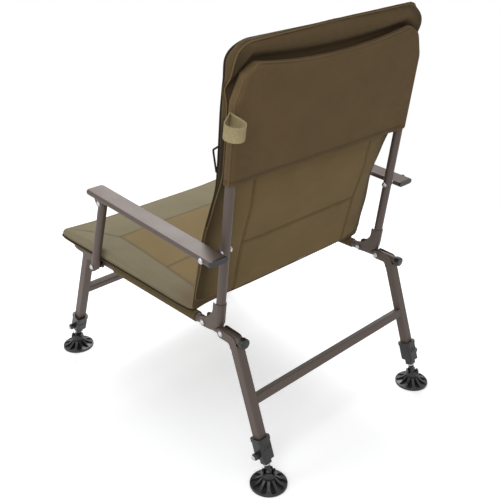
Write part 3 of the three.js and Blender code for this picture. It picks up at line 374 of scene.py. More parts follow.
# Materials of the hard pieces
def hard_finish(name, colour, dark, rough, grain, depth, worn_and_lit=None, **sockets):
    """Clouded colour and fine grain, given as (grains, clouds), with lighter edges, partly worn paint and
    partly a painted highlight.
    """
    material, tree, shader = new_material(name)
    place = add_node(tree, "TexCoord", {}).outputs["Object"]
    texture = place_group(tree, GRAIN, Place=place, Grain=grain[0], Cloud=grain[1])
    tint = mixed(tree, ranged(tree, texture["Shade"], 0, 1), dark, colour)
    # Lighter edges: worn paint together with a painted edge highlight
    if worn_and_lit:
        tint = mixed(tree, place_group(tree, WEAR_AND_EDGE_LIGHT, Place=place)["Mask"], tint, worn_and_lit)
    feed(tree, shader.inputs["Base Color"], tint)
    feed(tree, shader.inputs["Roughness"], ranged(tree, texture["Shade"], *rough))
    feed(tree, shader.inputs["Normal"], bumped(tree, texture["Height"], depth))
    for label, value in sockets.items():
        shader.inputs[label.replace("_", " ")].default_value = value
    return material


def paint(name, colour, dark):
    return hard_finish(name, colour, dark, (0.44, 0.58), (1500.0, 9.0), 0.00008, shaded(colour, 1.9),
                       Metallic=0.22, Coat_Weight=0.05, Coat_Roughness=0.4)


def plating(name, colour):
    return hard_finish(name, colour, shaded(colour, 0.8), (0.18, 0.38), (2600.0, 60.0), 0.00003, Metallic=1.0)


def moulded(name, colour, rough):
    return hard_finish(name, colour, shaded(colour, 0.7), (rough - 0.08, rough + 0.1), (900.0, 24.0), 0.00012,
                       shaded(colour, 2.6), Specular_IOR_Level=0.45)


# Seams that the cloth's shape and its stitches share, each in the frame of its cushion
SEAT_PANEL_HALF = 217.0
SEAT_PANEL_FRONT = 210.0
SEAT_PANEL_CORNER = (SEAT_PANEL_HALF, -SEAT_PANEL_FRONT)
SEAT_SEAM_REAR = 170.0
SEAT_CHANNEL = -18.0
SEAT_SEAM_CORNER = (283.0, -382.0)
BACK_SEAM_HALF = 190.0
BACK_SEAM_UP = 175.0
BACK_SEAM_TOP = 350.0
POCKET_FOOT = 354.0
HEM_WIDTH = 9.0
EVERYWHERE = 1000.0
BELOW_ALL = -100.0

# Materials of the cloth pieces; both sides of the chair look alike. The stitches are in metres
STITCH_BESIDE = 0.0034
SEAM_HALF = 0.0007
SEAM_DEPTH = 2.5
LINE_OVERLAP = 0.001


def stitched_line(tree, side, along, line, tint, height, thread, dark):
    """A seam with a row of stitches on each side, between two places on the cloth, in mm."""
    calc = partial(math_node, tree)
    (first_side, first_along), (last_side, last_along) = (np.array(line) * MILLIMETRE).tolist()
    run = math.hypot(last_side - first_side, last_along - first_along)
    side_step, along_step = (last_side - first_side) / run, (last_along - first_along) / run
    side = calc("SUBTRACT", side, first_side)
    along = calc("SUBTRACT", along, first_along)
    reach = calc("ADD", calc("MULTIPLY", side, side_step), calc("MULTIPLY", along, along_step))
    off = calc("SUBTRACT", calc("MULTIPLY", side, along_step), calc("MULTIPLY", along, side_step))
    inside = calc("MULTIPLY", calc("GREATER_THAN", reach, -LINE_OVERLAP), calc("LESS_THAN", reach, run))
    for beside in (-STITCH_BESIDE, STITCH_BESIDE):
        stitch = place_group(tree, STITCH, Distance=calc("SUBTRACT", off, beside), Along=reach)
        mask = calc("MULTIPLY", stitch["Mask"], inside)
        tint = mixed(tree, mask, tint, thread)
        height = calc("SUBTRACT", height, mask)
    seam = calc("MULTIPLY", calc("LESS_THAN", calc("ABSOLUTE", off), SEAM_HALF), inside)
    return mixed(tree, seam, tint, dark), calc("SUBTRACT", height, calc("MULTIPLY", seam, SEAM_DEPTH))


def woven(name, colour, dark, lines=(), across="XZ", threads=850.0, panel=None, height_band=None, sides=None,
          bump=0.0004):
    """Cloth with a weave, stitched lines, a panel and a band by height of other colours, and painted shade at
    its sides.

    Lines are pairs of places; a panel is (colour, half width, low, high), and a height band and the side
    shade are (colour, from, to), all in mm.
    """
    material, tree, shader = new_material(name)
    calc = partial(math_node, tree)
    # The place at rest, kept on the mesh so that weave and stitches follow the cloth when it bends
    place = add_node(tree, "Attribute", {}, attribute_name="cloth_place").outputs["Vector"]
    parts = add_node(tree, "SeparateXYZ", {0: place}).outputs
    flat = add_node(tree, "CombineXYZ", {"X": parts[across[0]], "Y": parts[across[1]]}).outputs[0]
    side, along = calc("ABSOLUTE", parts["X"]), parts[across[1]]
    weave = place_group(tree, WEAVE, Place=flat, Threads=threads)
    cloud = ranged(tree, weave["Shade"], 0, 1, 0.35, 0.65)
    tint = mixed(tree, cloud, dark, colour)
    if panel:
        panel_colour, *reach = panel
        half_width, low, high = (length * MILLIMETRE for length in reach)
        between = calc("MULTIPLY", calc("GREATER_THAN", along, low), calc("LESS_THAN", along, high))
        inside = calc("MULTIPLY", calc("LESS_THAN", side, half_width), between)
        tint = mixed(tree, inside, tint, mixed(tree, cloud, shaded(panel_colour, 0.84), panel_colour))
    # A colour that takes over above or below a height; on the back cloth and on the seat's sides it is
    # painted shade
    if height_band:
        band_colour, *reach = height_band
        fading = ranged(tree, parts["Z"], 1, 0, *[height * MILLIMETRE for height in reach])
        tint = mixed(tree, fading, tint, band_colour)
    # The sides darken towards the cloth's edges as painted shade
    if sides:
        side_shade_colour, *reach = sides
        fading = ranged(tree, side, 0, 1, *[width * MILLIMETRE for width in reach])
        tint = mixed(tree, fading, tint, side_shade_colour)
    height = calc("MULTIPLY", weave["Height"], 0.3)
    thread_colour, seam_colour = shaded(colour, 0.6), shaded(dark, 0.5)
    for line in lines:
        tint, height = stitched_line(tree, side, along, line, tint, height, thread_colour, seam_colour)
    feed(tree, shader.inputs["Base Color"], tint)
    feed(tree, shader.inputs["Roughness"], ranged(tree, weave["Shade"], 0.8, 0.93))
    feed(tree, shader.inputs["Normal"], bumped(tree, height, bump))
    for label, value in (("Specular IOR Level", 0.12), ("Sheen Weight", 0.06), ("Sheen Roughness", 0.5),
                         ("Sheen Tint", (0.75, 0.66, 0.48))):
        feed(tree, shader.inputs[label], value)
    return material


FRAME_PAINT = paint("frame_paint", (0.095, 0.067, 0.054), (0.075, 0.053, 0.042))
ZINC = plating("bright_zinc", (0.54, 0.54, 0.55))
BLACK_PLASTIC = moulded("black_plastic", (0.017, 0.016, 0.017), 0.32)
BLACK_CAP = moulded("black_cap", (0.010, 0.010, 0.011), 0.34)
RIGID_MATERIALS = (FRAME_PAINT, ZINC, BLACK_PLASTIC, BLACK_CAP)

# Back cloth: darker from 500 mm up, fully above 545 mm, as painted shade on the roll over the pocket, and
# darker towards its sides as painted shade on the wrap
BACK_CLOTH = woven(
    "back_cloth", (0.186, 0.126, 0.055), (0.150, 0.101, 0.043),
    lines=[((BACK_SEAM_HALF, 0), (BACK_SEAM_HALF, BACK_SEAM_TOP)),
           ((0, BACK_SEAM_UP), (BACK_SEAM_HALF, BACK_SEAM_UP))],
    height_band=((0.098, 0.064, 0.029), 545, 500), sides=((0.058, 0.039, 0.018), 240, 274))
# Gusset cloth: near black, brown below 235 mm, and brown again from 455 mm up, fully above 500 mm
BACK_GUSSET = woven(
    "back_gusset_cloth", (0.034, 0.023, 0.012), (0.024, 0.016, 0.009), across="YZ",
    panel=((0.096, 0.064, 0.030), EVERYWHERE, BELOW_ALL, 235), height_band=((0.090, 0.060, 0.027), 500, 455))
# Seat cloth: browner and darker below 26 mm, fully below 14 mm, as painted shade on the cushion's sides
SEAT_CLOTH = woven(
    "seat_cloth", (0.224, 0.193, 0.122), (0.190, 0.163, 0.101), across="XY",
    lines=[(SEAT_PANEL_CORNER, (SEAT_PANEL_HALF, SEAT_SEAM_REAR)),
           ((0, -SEAT_PANEL_FRONT), SEAT_PANEL_CORNER),
           ((0, SEAT_CHANNEL), (SEAT_PANEL_HALF, SEAT_CHANNEL)),
           (SEAT_PANEL_CORNER, SEAT_SEAM_CORNER)],
    panel=((0.232, 0.168, 0.079), SEAT_PANEL_HALF, -SEAT_PANEL_FRONT, 300),
    height_band=((0.140, 0.097, 0.050), 14, 26))
POCKET_CLOTH = woven(
    "pocket_cloth", (0.134, 0.086, 0.040), (0.107, 0.069, 0.032),
    lines=[((0, POCKET_FOOT + HEM_WIDTH), (290, POCKET_FOOT + HEM_WIDTH))])
SLING_CLOTH = woven("sling_cloth", (0.112, 0.077, 0.034), (0.084, 0.057, 0.025), across="XY")
DARK_TAPE = ((0.030, 0.023, 0.012), (0.020, 0.015, 0.008))
DARK_PIPING = woven("dark_piping", *DARK_TAPE, threads=600.0)
# Front piping: dark, and lighter brown below 190 mm as painted light on its lit lower part
BACK_PIPING = woven(
    "back_piping", *DARK_TAPE, threads=600.0, panel=((0.215, 0.158, 0.085), EVERYWHERE, BELOW_ALL, 190))
BROWN_PIPING = woven("brown_piping", (0.150, 0.102, 0.052), (0.115, 0.078, 0.038), threads=600.0)
WEBBING = woven("tan_webbing", (0.47, 0.385, 0.215), (0.30, 0.24, 0.125), threads=330.0, bump=0.0016)
BLACK_STRAP = woven("black_strap", (0.016, 0.016, 0.017), (0.010, 0.010, 0.011), across="YZ", threads=500.0)


# Work on one piece at a time
def begin():
    """Object mode with nothing selected, before a piece is added or taken."""
    if bpy.context.object is not None and bpy.context.object.mode != "OBJECT":
        bpy.ops.object.mode_set(mode="OBJECT")
    bpy.ops.object.select_all(action="DESELECT")


def take(piece):
    begin()
    piece.select_set(True)
    bpy.context.view_layer.objects.active = piece


def open_mesh(piece):
    """Edit mode with the whole piece selected."""
    take(piece)
    bpy.ops.object.mode_set(mode="EDIT")
    bpy.ops.mesh.select_all(action="SELECT")


def close_mesh(merge=None):
    """Merge points nearer than a distance, if one is given, turn the faces out and leave edit mode."""
    bpy.ops.mesh.select_all(action="SELECT")
    if merge is not None:
        bpy.ops.mesh.remove_doubles(threshold=merge)
    bpy.ops.mesh.normals_make_consistent(inside=False)
    bpy.ops.object.mode_set(mode="OBJECT")


def draw_out(step):
    bpy.ops.mesh.extrude_region_move(TRANSFORM_OT_translate={"value": step})


def settle(piece, place=None):
    """Put a piece that was made in millimetres in the chair's frame, with its place in its mesh."""
    take(piece)
    bpy.ops.object.transform_apply(location=True, rotation=True, scale=True)
    piece.data.transform(Matrix.Scale(MILLIMETRE, 4) @ (place or Matrix.Identity(4)))
    piece.data.update()


def add_modifier(piece, kind, **settings):
    take(piece)
    modifier = piece.modifiers.new(kind.lower(), kind)
    for label, value in settings.items():
        setattr(modifier, label, value)
    bpy.ops.object.modifier_apply(modifier=modifier.name)


def round_edges(piece, width, segments, angle):
    add_modifier(piece, "BEVEL", width=width, segments=segments, limit_method="ANGLE",
                 angle_limit=math.radians(angle))


def smooth(piece, angle=35):
    take(piece)
    bpy.ops.object.shade_smooth_by_angle(angle=math.radians(angle))


def dress(piece, name, material, body, slot, *stands_for):
    piece.name = name
    piece.data.name = name
    piece.data.materials.clear()
    piece.data.materials.append(material)
    if material in RIGID_MATERIALS:
        add_modifier(piece, "WEIGHTED_NORMAL", keep_sharp=True)
    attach(piece, body)
    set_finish(piece, slot)
    if stands_for:
        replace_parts(piece, *stands_for)


def joined(first, *others):
    take(first)
    for other in others:
        other.select_set(True)
    bpy.ops.object.join()
    return first


def copied(piece, matrix):
    """A copy with its own mesh, moved by a matrix in the chair's frame."""
    take(piece)
    bpy.ops.object.duplicate()
    copy = bpy.context.object
    copy.parent = None
    copy.matrix_world = Matrix.Identity(4)
    take(copy)
    if copy.data.has_custom_normals:
        bpy.ops.mesh.customdata_custom_splitnormals_clear()
    copy.data.transform(matrix)
    if matrix.determinant() < 0:
        open_mesh(copy)
        close_mesh()
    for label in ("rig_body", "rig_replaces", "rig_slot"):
        if label in copy:
            del copy[label]
    return copy


def dress_pair(piece, name, material, body, slot, node):
    """Dress a piece on the left and its mirrored copy on the right; braces in a name stand for the side."""
    dress(piece, name.format("left"), material, body.format("left"), slot, node.format("left"))
    right = copied(piece, Matrix.Scale(-1, 4, (1, 0, 0)))
    dress(right, name.format("right"), material, body.format("right"), slot, node.format("right"))


# Rounding of the solids that are dressed as they are, in metres and degrees
CAD_MERGE = 0.00002
CAD_FLAT_ANGLE = 1.0
CAD_EDGE_ANGLE = 40


def edges_of_cad(node, width):
    """A copy of a CAD solid, merged, with its sharp edges rounded."""
    piece = bpy.data.objects.new(node + "_dressed", NODES[node].data.copy())
    bpy.context.scene.collection.objects.link(piece)
    open_mesh(piece)
    bpy.ops.mesh.remove_doubles(threshold=CAD_MERGE)
    bpy.ops.mesh.dissolve_limited(angle_limit=math.radians(CAD_FLAT_ANGLE))
    bpy.ops.object.mode_set(mode="OBJECT")
    round_edges(piece, width, 2, CAD_EDGE_ANGLE)
    smooth(piece, 32)
    return piece


TUBE_WALL = 1.5
TUBE_SIDES = 40
TUBE_MERGE = 0.01
BEND_STEPS = 12


def bent_tube(radius, start, leg, bend, axis):
    """A tube drawn from a ring: along its left side, round two bends and back along its right side."""
    begin()
    bpy.ops.mesh.primitive_circle_add(vertices=TUBE_SIDES, radius=radius, fill_type="NOTHING")
    piece = bpy.context.object
    turn = Vector((0, 0, 1)).rotation_difference(-Vector(leg)).to_matrix().to_4x4()
    piece.data.transform(Matrix.Translation(start) @ turn)
    half = start[0] - bend
    level = [place + step for place, step in zip(start[1:], leg[1:])]
    open_mesh(piece)
    draw_out(leg)
    bpy.ops.mesh.spin(steps=BEND_STEPS, angle=math.pi / 2, center=(half, *level), axis=axis)
    draw_out((-2 * half, 0, 0))
    bpy.ops.mesh.spin(steps=BEND_STEPS, angle=math.pi / 2, center=(-half, *level), axis=axis)
    draw_out([-step for step in leg])
    close_mesh(TUBE_MERGE)
    add_modifier(piece, "SOLIDIFY", thickness=TUBE_WALL, offset=-1.0)
    smooth(piece, 40)
    return piece


# Radius of a ring that stands for a point on the axis until its points are merged, and how near points merge
AXIS_RADIUS = 0.001
MERGE_REACH = 0.005
# How far the middle of a rounded edge lies inside its corner, as a share of the edge
ROUND_MIDDLE = 0.29
TO_X = turned(90, "Y")


def turned_piece(profile, sides=40, place=Matrix.Identity(4)):
    """A circle drawn out ring by ring along a profile of (radius, height), which may close on itself."""
    rings = [(max(radius, AXIS_RADIUS), height) for radius, height in profile]
    begin()
    bpy.ops.mesh.primitive_circle_add(
        vertices=sides, radius=rings[0][0], fill_type="NOTHING", location=(0, 0, rings[0][1]))
    piece = bpy.context.object
    bpy.ops.object.transform_apply(location=True)
    open_mesh(piece)
    for (last_radius, last_height), (radius, height) in zip(rings, rings[1:]):
        draw_out((0, 0, height - last_height))
        share = radius / last_radius
        bpy.ops.transform.resize(value=(share, share, 1), center_override=(0, 0, 0))
    close_mesh(MERGE_REACH)
    piece.data.transform(turned(-90, "Z"))
    smooth(piece, 35)
    piece.data.transform(place)
    return piece


def round_bar(radius, low, high, sides, edge, place):
    """A bar along its axis whose edges are rounded by a quarter circle of three points."""
    middle = edge * ROUND_MIDDLE
    profile = [
        (0, low), (radius - edge, low), (radius - middle, low + middle), (radius, low + edge),
        (radius, high - edge), (radius - middle, high - middle), (radius - edge, high), (0, high)]
    return turned_piece(profile, sides, place)


# Turned fittings, as (radius, height) along their axis
BOLT_HEAD = (
    (0, 0.0), (6.6, 0.0), (6.6, 0.8), (5.6, 0.9), (5.4, 1.8), (4.6, 2.8), (3.0, 3.4), (1.4, 3.6), (0, 3.6))
NUT = ((2.4, -5.0), (5.6, -5.0), (6.5, -4.3), (6.5, -0.7), (5.6, 0.0), (2.4, 0.0), (2.4, -5.0))
RAIL_CAP = ((0, 0.3), (10.4, 0.3), (10.4, -8), (11.9, -8), (11.9, 2.4), (11.2, 3.6), (9.8, 4.3), (0, 4.3))
POST_SPACER = (
    (3.4, 286.8), (8.4, 286.8), (9.0, 287.4), (9.0, 292.6), (8.4, 293.2), (3.4, 293.2), (3.4, 286.8))
PIN_BUTTON = ((0, -1.0), (5.0, -1.0), (5.4, -0.4), (5.2, 0.9), (4.2, 1.6), (1.6, 2.0), (0, 2.0))
FOOT_BOWL = (
    (0, 1.2), (40.5, 1.2), (41.5, 0.2), (43, 0.6), (43, 5.0), (42.2, 6.2), (40.6, 6.6), (38.5, 4.6),
    (27, 5.0), (15.5, 7), (15.8, 18), (17.6, 24), (17.8, 30), (16.6, 37.5), (15.8, 39.4), (14.2, 40),
    (12.2, 39.2), (10.8, 36), (9.6, 31), (7.6, 27), (4.6, 25), (0, 24.4))
BALL_STUD = (
    (0, -9), (3.6, -8.2), (6.4, -6.4), (8.3, -3.4), (9, 0), (8.3, 3.4), (6.6, 6), (5.4, 7.6), (5.2, 13),
    (7.2, 14), (7.2, 17), (5.2, 18), (5.2, 25), (0, 25))
STUD_WASHER = ((0, 19.6), (8.2, 19.6), (8.8, 20.2), (8.8, 23.2), (8.2, 23.8), (0, 23.8))

# Seat rail and back tube, each in its own frame
RAIL_RADIUS = 10.0
RAIL_END = 320.0
RAIL_LEG = 637.0
RAIL_BEND = 45.0
BACK_TUBE_RADIUS = 10.5
BACK_TUBE_FOOT = 13.8
BACK_TUBE_LEG = 490.2
BACK_TUBE_BEND = 60.0

# Pivots on the rail and on the back tube, as (along, up) in the frame of each
REAR_LEG_BOLT = (255.5, 0)
FRONT_LEG_BOLT = (-201.5, -1.8)
BACK_BOLT = (196.5, 3.2)
ARM_BOLT = (BACK_TUBE_OFFSET, 202)


def make_seat_frame():
    rail = bent_tube(RAIL_RADIUS, (RAIL_HALF_SPAN, RAIL_END, 0), (0, -RAIL_LEG, 0), RAIL_BEND, (0, 0, 1))
    settle(rail, SEAT)
    dress(rail, "seat_rail_tube", FRAME_PAINT, "seat_frame", "frame_paint", "seat_rail")
    cap = turned_piece(RAIL_CAP, 40, Matrix.Translation((RAIL_HALF_SPAN, RAIL_END, 0)) @ turned(-90))
    settle(cap, SEAT)
    dress_pair(cap, "rail_cap_{}", BLACK_CAP, "seat_frame", "black_plastic", "rail_end_cap_{}")
    spacer = turned_piece(POST_SPACER, 36, Matrix.Translation((0, *FRONT_LEG_BOLT)) @ TO_X)
    settle(spacer, SEAT)
    dress_pair(spacer, "spacer_{}", BLACK_CAP, "seat_frame", "black_plastic", "post_spacer_{}")


def make_back_frame():
    foot = (RAIL_HALF_SPAN, BACK_TUBE_OFFSET, BACK_TUBE_FOOT)
    tube = bent_tube(BACK_TUBE_RADIUS, foot, (0, 0, BACK_TUBE_LEG), BACK_TUBE_BEND, (0, 1, 0))
    settle(tube, BACK)
    dress(tube, "back_tube", FRAME_PAINT, "back", "frame_paint", "back_frame_tube")


# Posts: round bars whose ends are rounded over the bolts
POST_MIDDLE = 304.5
POST_RADIUS = 11.0
POST_BELOW = 13.0
POST_ABOVE = 12.0


def make_posts():
    low, high = -POST_BELOW, LINK.length + POST_ABOVE
    begin()
    bpy.ops.mesh.primitive_cylinder_add(vertices=40, radius=POST_RADIUS, depth=high - low)
    piece = bpy.context.object
    piece.data.transform(Matrix.Translation((POST_MIDDLE, 0, (low + high) / 2)))
    shoulders = (low + POST_RADIUS, high - POST_RADIUS)
    for shoulder in shoulders:
        open_mesh(piece)
        bpy.ops.mesh.bisect(plane_co=(POST_MIDDLE, 0, shoulder), plane_no=(0, 0, 1))
        bpy.ops.object.mode_set(mode="OBJECT")
    for vertex in piece.data.vertices:
        if max(shoulders[0] - vertex.co.z, vertex.co.z - shoulders[1]) > 0.1:
            drop = POST_RADIUS - math.sqrt(max(POST_RADIUS ** 2 - vertex.co.y ** 2, 0.0))
            vertex.co.z += drop if vertex.co.z < 0 else -drop
    round_edges(piece, 1.0, 3, 40)
    smooth(piece, 40)
    settle(piece, POST)
    dress_pair(piece, "post_bar_{}", FRAME_PAINT, "post_{}_group", "frame_paint", "post_{}")


# Arms: flat oval bars with a rounded nose
ARM_MIDDLE = (316.25, -196.5, 0)
ARM_SIZE = (49.5, 439, 13)
ARM_NOSE = 10.0
ARM_EDGE = 5.8


def bevel_edges(piece, chosen, offset, segments):
    """Round the edges whose two ends a test chooses."""
    open_mesh(piece)
    bpy.ops.mesh.select_mode(type="EDGE")
    bpy.ops.mesh.select_all(action="DESELECT")
    bpy.ops.object.mode_set(mode="OBJECT")
    for edge in piece.data.edges:
        edge.select = chosen(*[piece.data.vertices[place].co for place in edge.vertices])
    bpy.ops.object.mode_set(mode="EDIT")
    bpy.ops.mesh.bevel(
        offset=offset, offset_type="OFFSET", segments=segments, affect="EDGES", clamp_overlap=True)
    bpy.ops.object.mode_set(mode="OBJECT")


def upright_in_front(first, second):
    return abs(first.z - second.z) > 1 and first.y < ARM_MIDDLE[1] / 2


def level_but_rear(first, second):
    rear = ARM_MIDDLE[1] + ARM_SIZE[1] / 2
    return abs(first.z - second.z) < 0.1 and min(first.y, second.y) < rear - 1


def make_arms():
    begin()
    bpy.ops.mesh.primitive_cube_add(size=1)
    bar = bpy.context.object
    bar.data.transform(Matrix.Translation(ARM_MIDDLE) @ Matrix.Diagonal((*ARM_SIZE, 1)))
    bevel_edges(bar, upright_in_front, ARM_NOSE, 8)
    bevel_edges(bar, level_but_rear, ARM_EDGE, 6)
    smooth(bar, 35)
    settle(bar, ARM)
    dress_pair(bar, "arm_bar_{}", FRAME_PAINT, "arm_{}_group", "frame_paint", "arm_{}")


# Width of the rounded edges of the square legs and the crossbars, in metres
LEG_EDGE = 0.0004


def dress_solid(node, body, material, slot, width):
    """A rigid piece whose CAD form is right and only lacks its rounded edges, with their width."""
    dress(edges_of_cad(node, width), node + "_made", material, body, slot, node)


def make_pressed_and_moulded():
    for side, _ in SIDES:
        arm = f"arm_{side}_group"
        dress_solid(f"back_bracket_{side}", "back", FRAME_PAINT, "frame_paint", 0.0005)
        dress_solid(f"arm_bracket_{side}", arm, FRAME_PAINT, "frame_paint", 0.0006)
        dress_solid(f"arm_rear_cap_{side}", arm, BLACK_CAP, "black_plastic", 0.0008)
        for row in ROWS:
            legs, inner, pin = f"{row}_legs", f"{row}_extension_{side}", f"{row}_pin_{side}"
            dress_solid(f"{row}_leg_{side}", legs, FRAME_PAINT, "frame_paint", LEG_EDGE)
            dress_solid(f"{row}_collar_{side}", legs, BLACK_PLASTIC, "black_plastic", 0.0009)
            dress_solid(f"{row}_inner_leg_{side}", inner, BLACK_CAP, "frame_paint", LEG_EDGE)
            dress_solid(f"{row}_pull_pin_{side}", pin, ZINC, "bolt_zinc", 0.0003)
            dress_solid(f"{row}_pull_knob_{side}", pin, BLACK_PLASTIC, "black_plastic", 0.0006)


def make_crossbars():
    for row in ROWS:
        dress_solid(f"{row}_crossbar", f"{row}_legs", FRAME_PAINT, "frame_paint", LEG_EDGE)


def make_pin_buttons():
    for row in ROWS:
        for side, sign in SIDES:
            low, high = (Vector(corner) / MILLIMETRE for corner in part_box(f"{row}_pull_pin_{side}"))
            middle = (low + high) / 2
            end = Matrix.Translation((high.x if sign > 0 else low.x, middle.y, middle.z))
            button = turned_piece(PIN_BUTTON, 32, end @ turned(90 * sign, "Y"))
            settle(button)
            dress(button, f"{row}_pin_button_{side}", ZINC, f"{row}_pin_{side}", "bolt_zinc")


# Bolts: a domed head with a washer outside, a nut and the thread's end inside
BOLT_RADIUS = 3.0
BOLT_IN_HEAD = 0.2
BOLT_BEYOND_NUT = 7.5
BOLT_EDGE = 0.5
SLEEVE_RADIUS = 7.0
SLEEVE_EDGE = 0.4
CHEEK_HALF = 11.8
BRACKET_HALF = 12.6
TUBE_HALF = 10.8
POST_HALF = 13.6
POST_OUTSIDE = 315.8
ARM_OUTSIDE = 341.3
ARM_SLEEVE = (285.8, 291.2)


def bolt(name, outside, inside, spot, place, body, sleeve=None):
    across = Matrix.Translation((0, *spot)) @ TO_X
    head = turned_piece(BOLT_HEAD, 40, Matrix.Translation((outside, *spot)) @ TO_X)
    shank = round_bar(BOLT_RADIUS, inside - BOLT_BEYOND_NUT, outside + BOLT_IN_HEAD, 24, BOLT_EDGE, across)
    nut = turned_piece(NUT, 6, Matrix.Translation((inside, *spot)) @ TO_X)
    smooth(nut, 20)
    pieces = [shank, nut]
    if sleeve:
        pieces.append(round_bar(SLEEVE_RADIUS, *sleeve, 32, SLEEVE_EDGE, across))
    settle(joined(head, *pieces), place)
    short = name.replace("_pivot", "")
    dress_pair(head, short + "_head_{}_made", ZINC, body, "bolt_zinc", name + "_{}")


def make_bolts():
    rail = RAIL_HALF_SPAN
    cheeks = rail - CHEEK_HALF
    bolt("rear_leg_bolt", rail + CHEEK_HALF, cheeks, REAR_LEG_BOLT, SEAT, "seat_frame")
    bolt("front_leg_bolt", POST_OUTSIDE, cheeks, FRONT_LEG_BOLT, SEAT, "seat_frame")
    bolt("back_pivot_bolt", rail + BRACKET_HALF, rail - BRACKET_HALF, BACK_BOLT, SEAT, "seat_frame")
    bolt("arm_pivot_bolt", ARM_OUTSIDE, rail - TUBE_HALF, ARM_BOLT, BACK, "back", ARM_SLEEVE)
    post = POST_MIDDLE
    top = ARM.inverted() @ (Vector(FRONT_PIVOT) + LINK)
    bolt("post_top_bolt", post + POST_HALF, post - POST_HALF, (top.y, top.z), ARM, "arm_{}_group")


# Feet: a bowl with four notches in its hub, and ten flared ribs that end inside its rim
HUB_NOTCHES = 4
HUB_NOTCH_DEPTH = 8.0
HUB_NOTCH_FROM = 35
HUB_NOTCH_OUTSIDE = 10
RIB_COUNT = 10
RIB_TURN = 9
RIB_IN = 15.0
RIB_OUT = 41.4
RIB_BOTTOM = 2.0
RIB_TOP_IN = 24.0
RIB_TOP_OUT = 6.4
RIB_HALF_IN = 3.4
RIB_HALF_OUT = 9.6
RIB_TOP_SHARE = 0.86
RIB_SAG = 5.0
RIB_WAIST = 0.32
RIB_EDGE = 0.9


def make_rib():
    begin()
    bpy.ops.mesh.primitive_cube_add(size=1)
    rib = bpy.context.object
    for vertex in rib.data.vertices:
        outer, top = vertex.co.x > 0, vertex.co.z > 0
        half = RIB_HALF_OUT if outer else RIB_HALF_IN
        vertex.co.x = RIB_OUT if outer else RIB_IN
        vertex.co.y = math.copysign(half * RIB_TOP_SHARE if top else half, vertex.co.y)
        vertex.co.z = (RIB_TOP_OUT if outer else RIB_TOP_IN) if top else RIB_BOTTOM
    open_mesh(rib)
    bpy.ops.mesh.subdivide(number_cuts=5)
    bpy.ops.object.mode_set(mode="OBJECT")
    for vertex in rib.data.vertices:
        between = math.sin(math.pi * (vertex.co.x - RIB_IN) / (RIB_OUT - RIB_IN))
        if vertex.co.z > RIB_BOTTOM + 0.5:
            sag = RIB_SAG * between * (vertex.co.z / RIB_TOP_IN + 0.25)
            vertex.co.z = max(vertex.co.z - sag, RIB_BOTTOM + 0.4)
        vertex.co.y *= 1 - RIB_WAIST * between
        share = min(RIB_OUT / math.hypot(vertex.co.x, vertex.co.y), 1)
        vertex.co.x *= share
        vertex.co.y *= share
    round_edges(rib, RIB_EDGE, 2, 45)
    return rib


def make_foot():
    bowl = turned_piece(FOOT_BOWL, 64)
    for vertex in bowl.data.vertices:
        notch = max(0.0, math.cos(math.atan2(vertex.co.y, vertex.co.x) * HUB_NOTCHES)) ** 6
        if vertex.co.z > HUB_NOTCH_FROM and math.hypot(vertex.co.x, vertex.co.y) > HUB_NOTCH_OUTSIDE:
            vertex.co.z -= HUB_NOTCH_DEPTH * notch
    ribs = []
    for number in range(RIB_COUNT):
        rib = make_rib()
        rib.data.transform(turned(number * 360 / RIB_COUNT + RIB_TURN, "Z"))
        ribs.append(rib)
    smooth(joined(bowl, *ribs), 40)
    return bowl


def make_feet():
    foot, stud, washer = make_foot(), turned_piece(BALL_STUD, 32), turned_piece(STUD_WASHER, 32)
    for row, leg, offset, reach in (
            ("rear", REAR_LEG, REAR_OFFSET, REAR_REACH), ("front", FRONT_LEG, FRONT_OFFSET, FRONT_REACH)):
        ball = leg @ Vector((0, offset, -reach))
        for side, sign in SIDES:
            # The front legs' frame is turned round, so the left leg lies on its other side
            leg_sign = sign if row == "rear" else -sign
            on_ball = leg @ Matrix.Translation((leg_sign * RAIL_HALF_SPAN, offset, -reach))
            on_floor = Matrix.Translation((sign * RAIL_HALF_SPAN, ball.y, 0))
            node, inner, tilting = (f"{row}_{part}_{side}" for part in ("foot", "extension", "ball_foot"))
            for form, place, name, material, body, slot, *stands_for in (
                    (foot, on_floor, node + "_made", BLACK_PLASTIC, tilting, "black_plastic", node),
                    (stud, on_ball, f"{row}_stud_{side}", BLACK_CAP, inner, "frame_paint"),
                    (washer, on_ball, f"{row}_stud_washer_{side}", ZINC, inner, "bolt_zinc")):
                piece = copied(form, place)
                settle(piece)
                dress(piece, name, material, body, slot, *stands_for)
    for spare in (foot, stud, washer):
        bpy.data.objects.remove(spare)


make_seat_frame()
make_back_frame()
make_posts()
make_arms()
make_pressed_and_moulded()
make_pin_buttons()
make_crossbars()
make_bolts()
make_feet()


# Cloth pieces
def points_of(piece, label="co"):
    values = np.zeros(len(piece.data.vertices) * 3)
    piece.data.vertices.foreach_get(label, values)
    return values.reshape(-1, 3)


def set_points(piece, points):
    piece.data.vertices.foreach_set("co", np.asarray(points, dtype=np.float64).ravel())
    piece.data.update()


def normals_of(piece):
    return points_of(piece, "normal")


def push(piece, distance):
    set_points(piece, points_of(piece) + normals_of(piece) * distance[:, None])


def keep_place(piece, places=None):
    """Store each point's place on the cloth at rest, in metres, for the weave and the stitches."""
    places = points_of(piece) * MILLIMETRE if places is None else places
    attribute = piece.data.attributes.new("cloth_place", "FLOAT_VECTOR", "POINT")
    attribute.data.foreach_set("vector", np.asarray(places, dtype=np.float32).ravel())


def eased(table, share):
    """A table of shares, read with its corners rounded off."""
    known, values = np.array(table).T
    reads = [np.interp(share + step, known, values) for step in (-0.03, -0.015, 0.0, 0.015, 0.03)]
    return sum(reads) / len(reads)


def drawn(distance, width):
    """1 on a line, fading with the distance from it."""
    return np.exp(-(distance / width) ** 2)


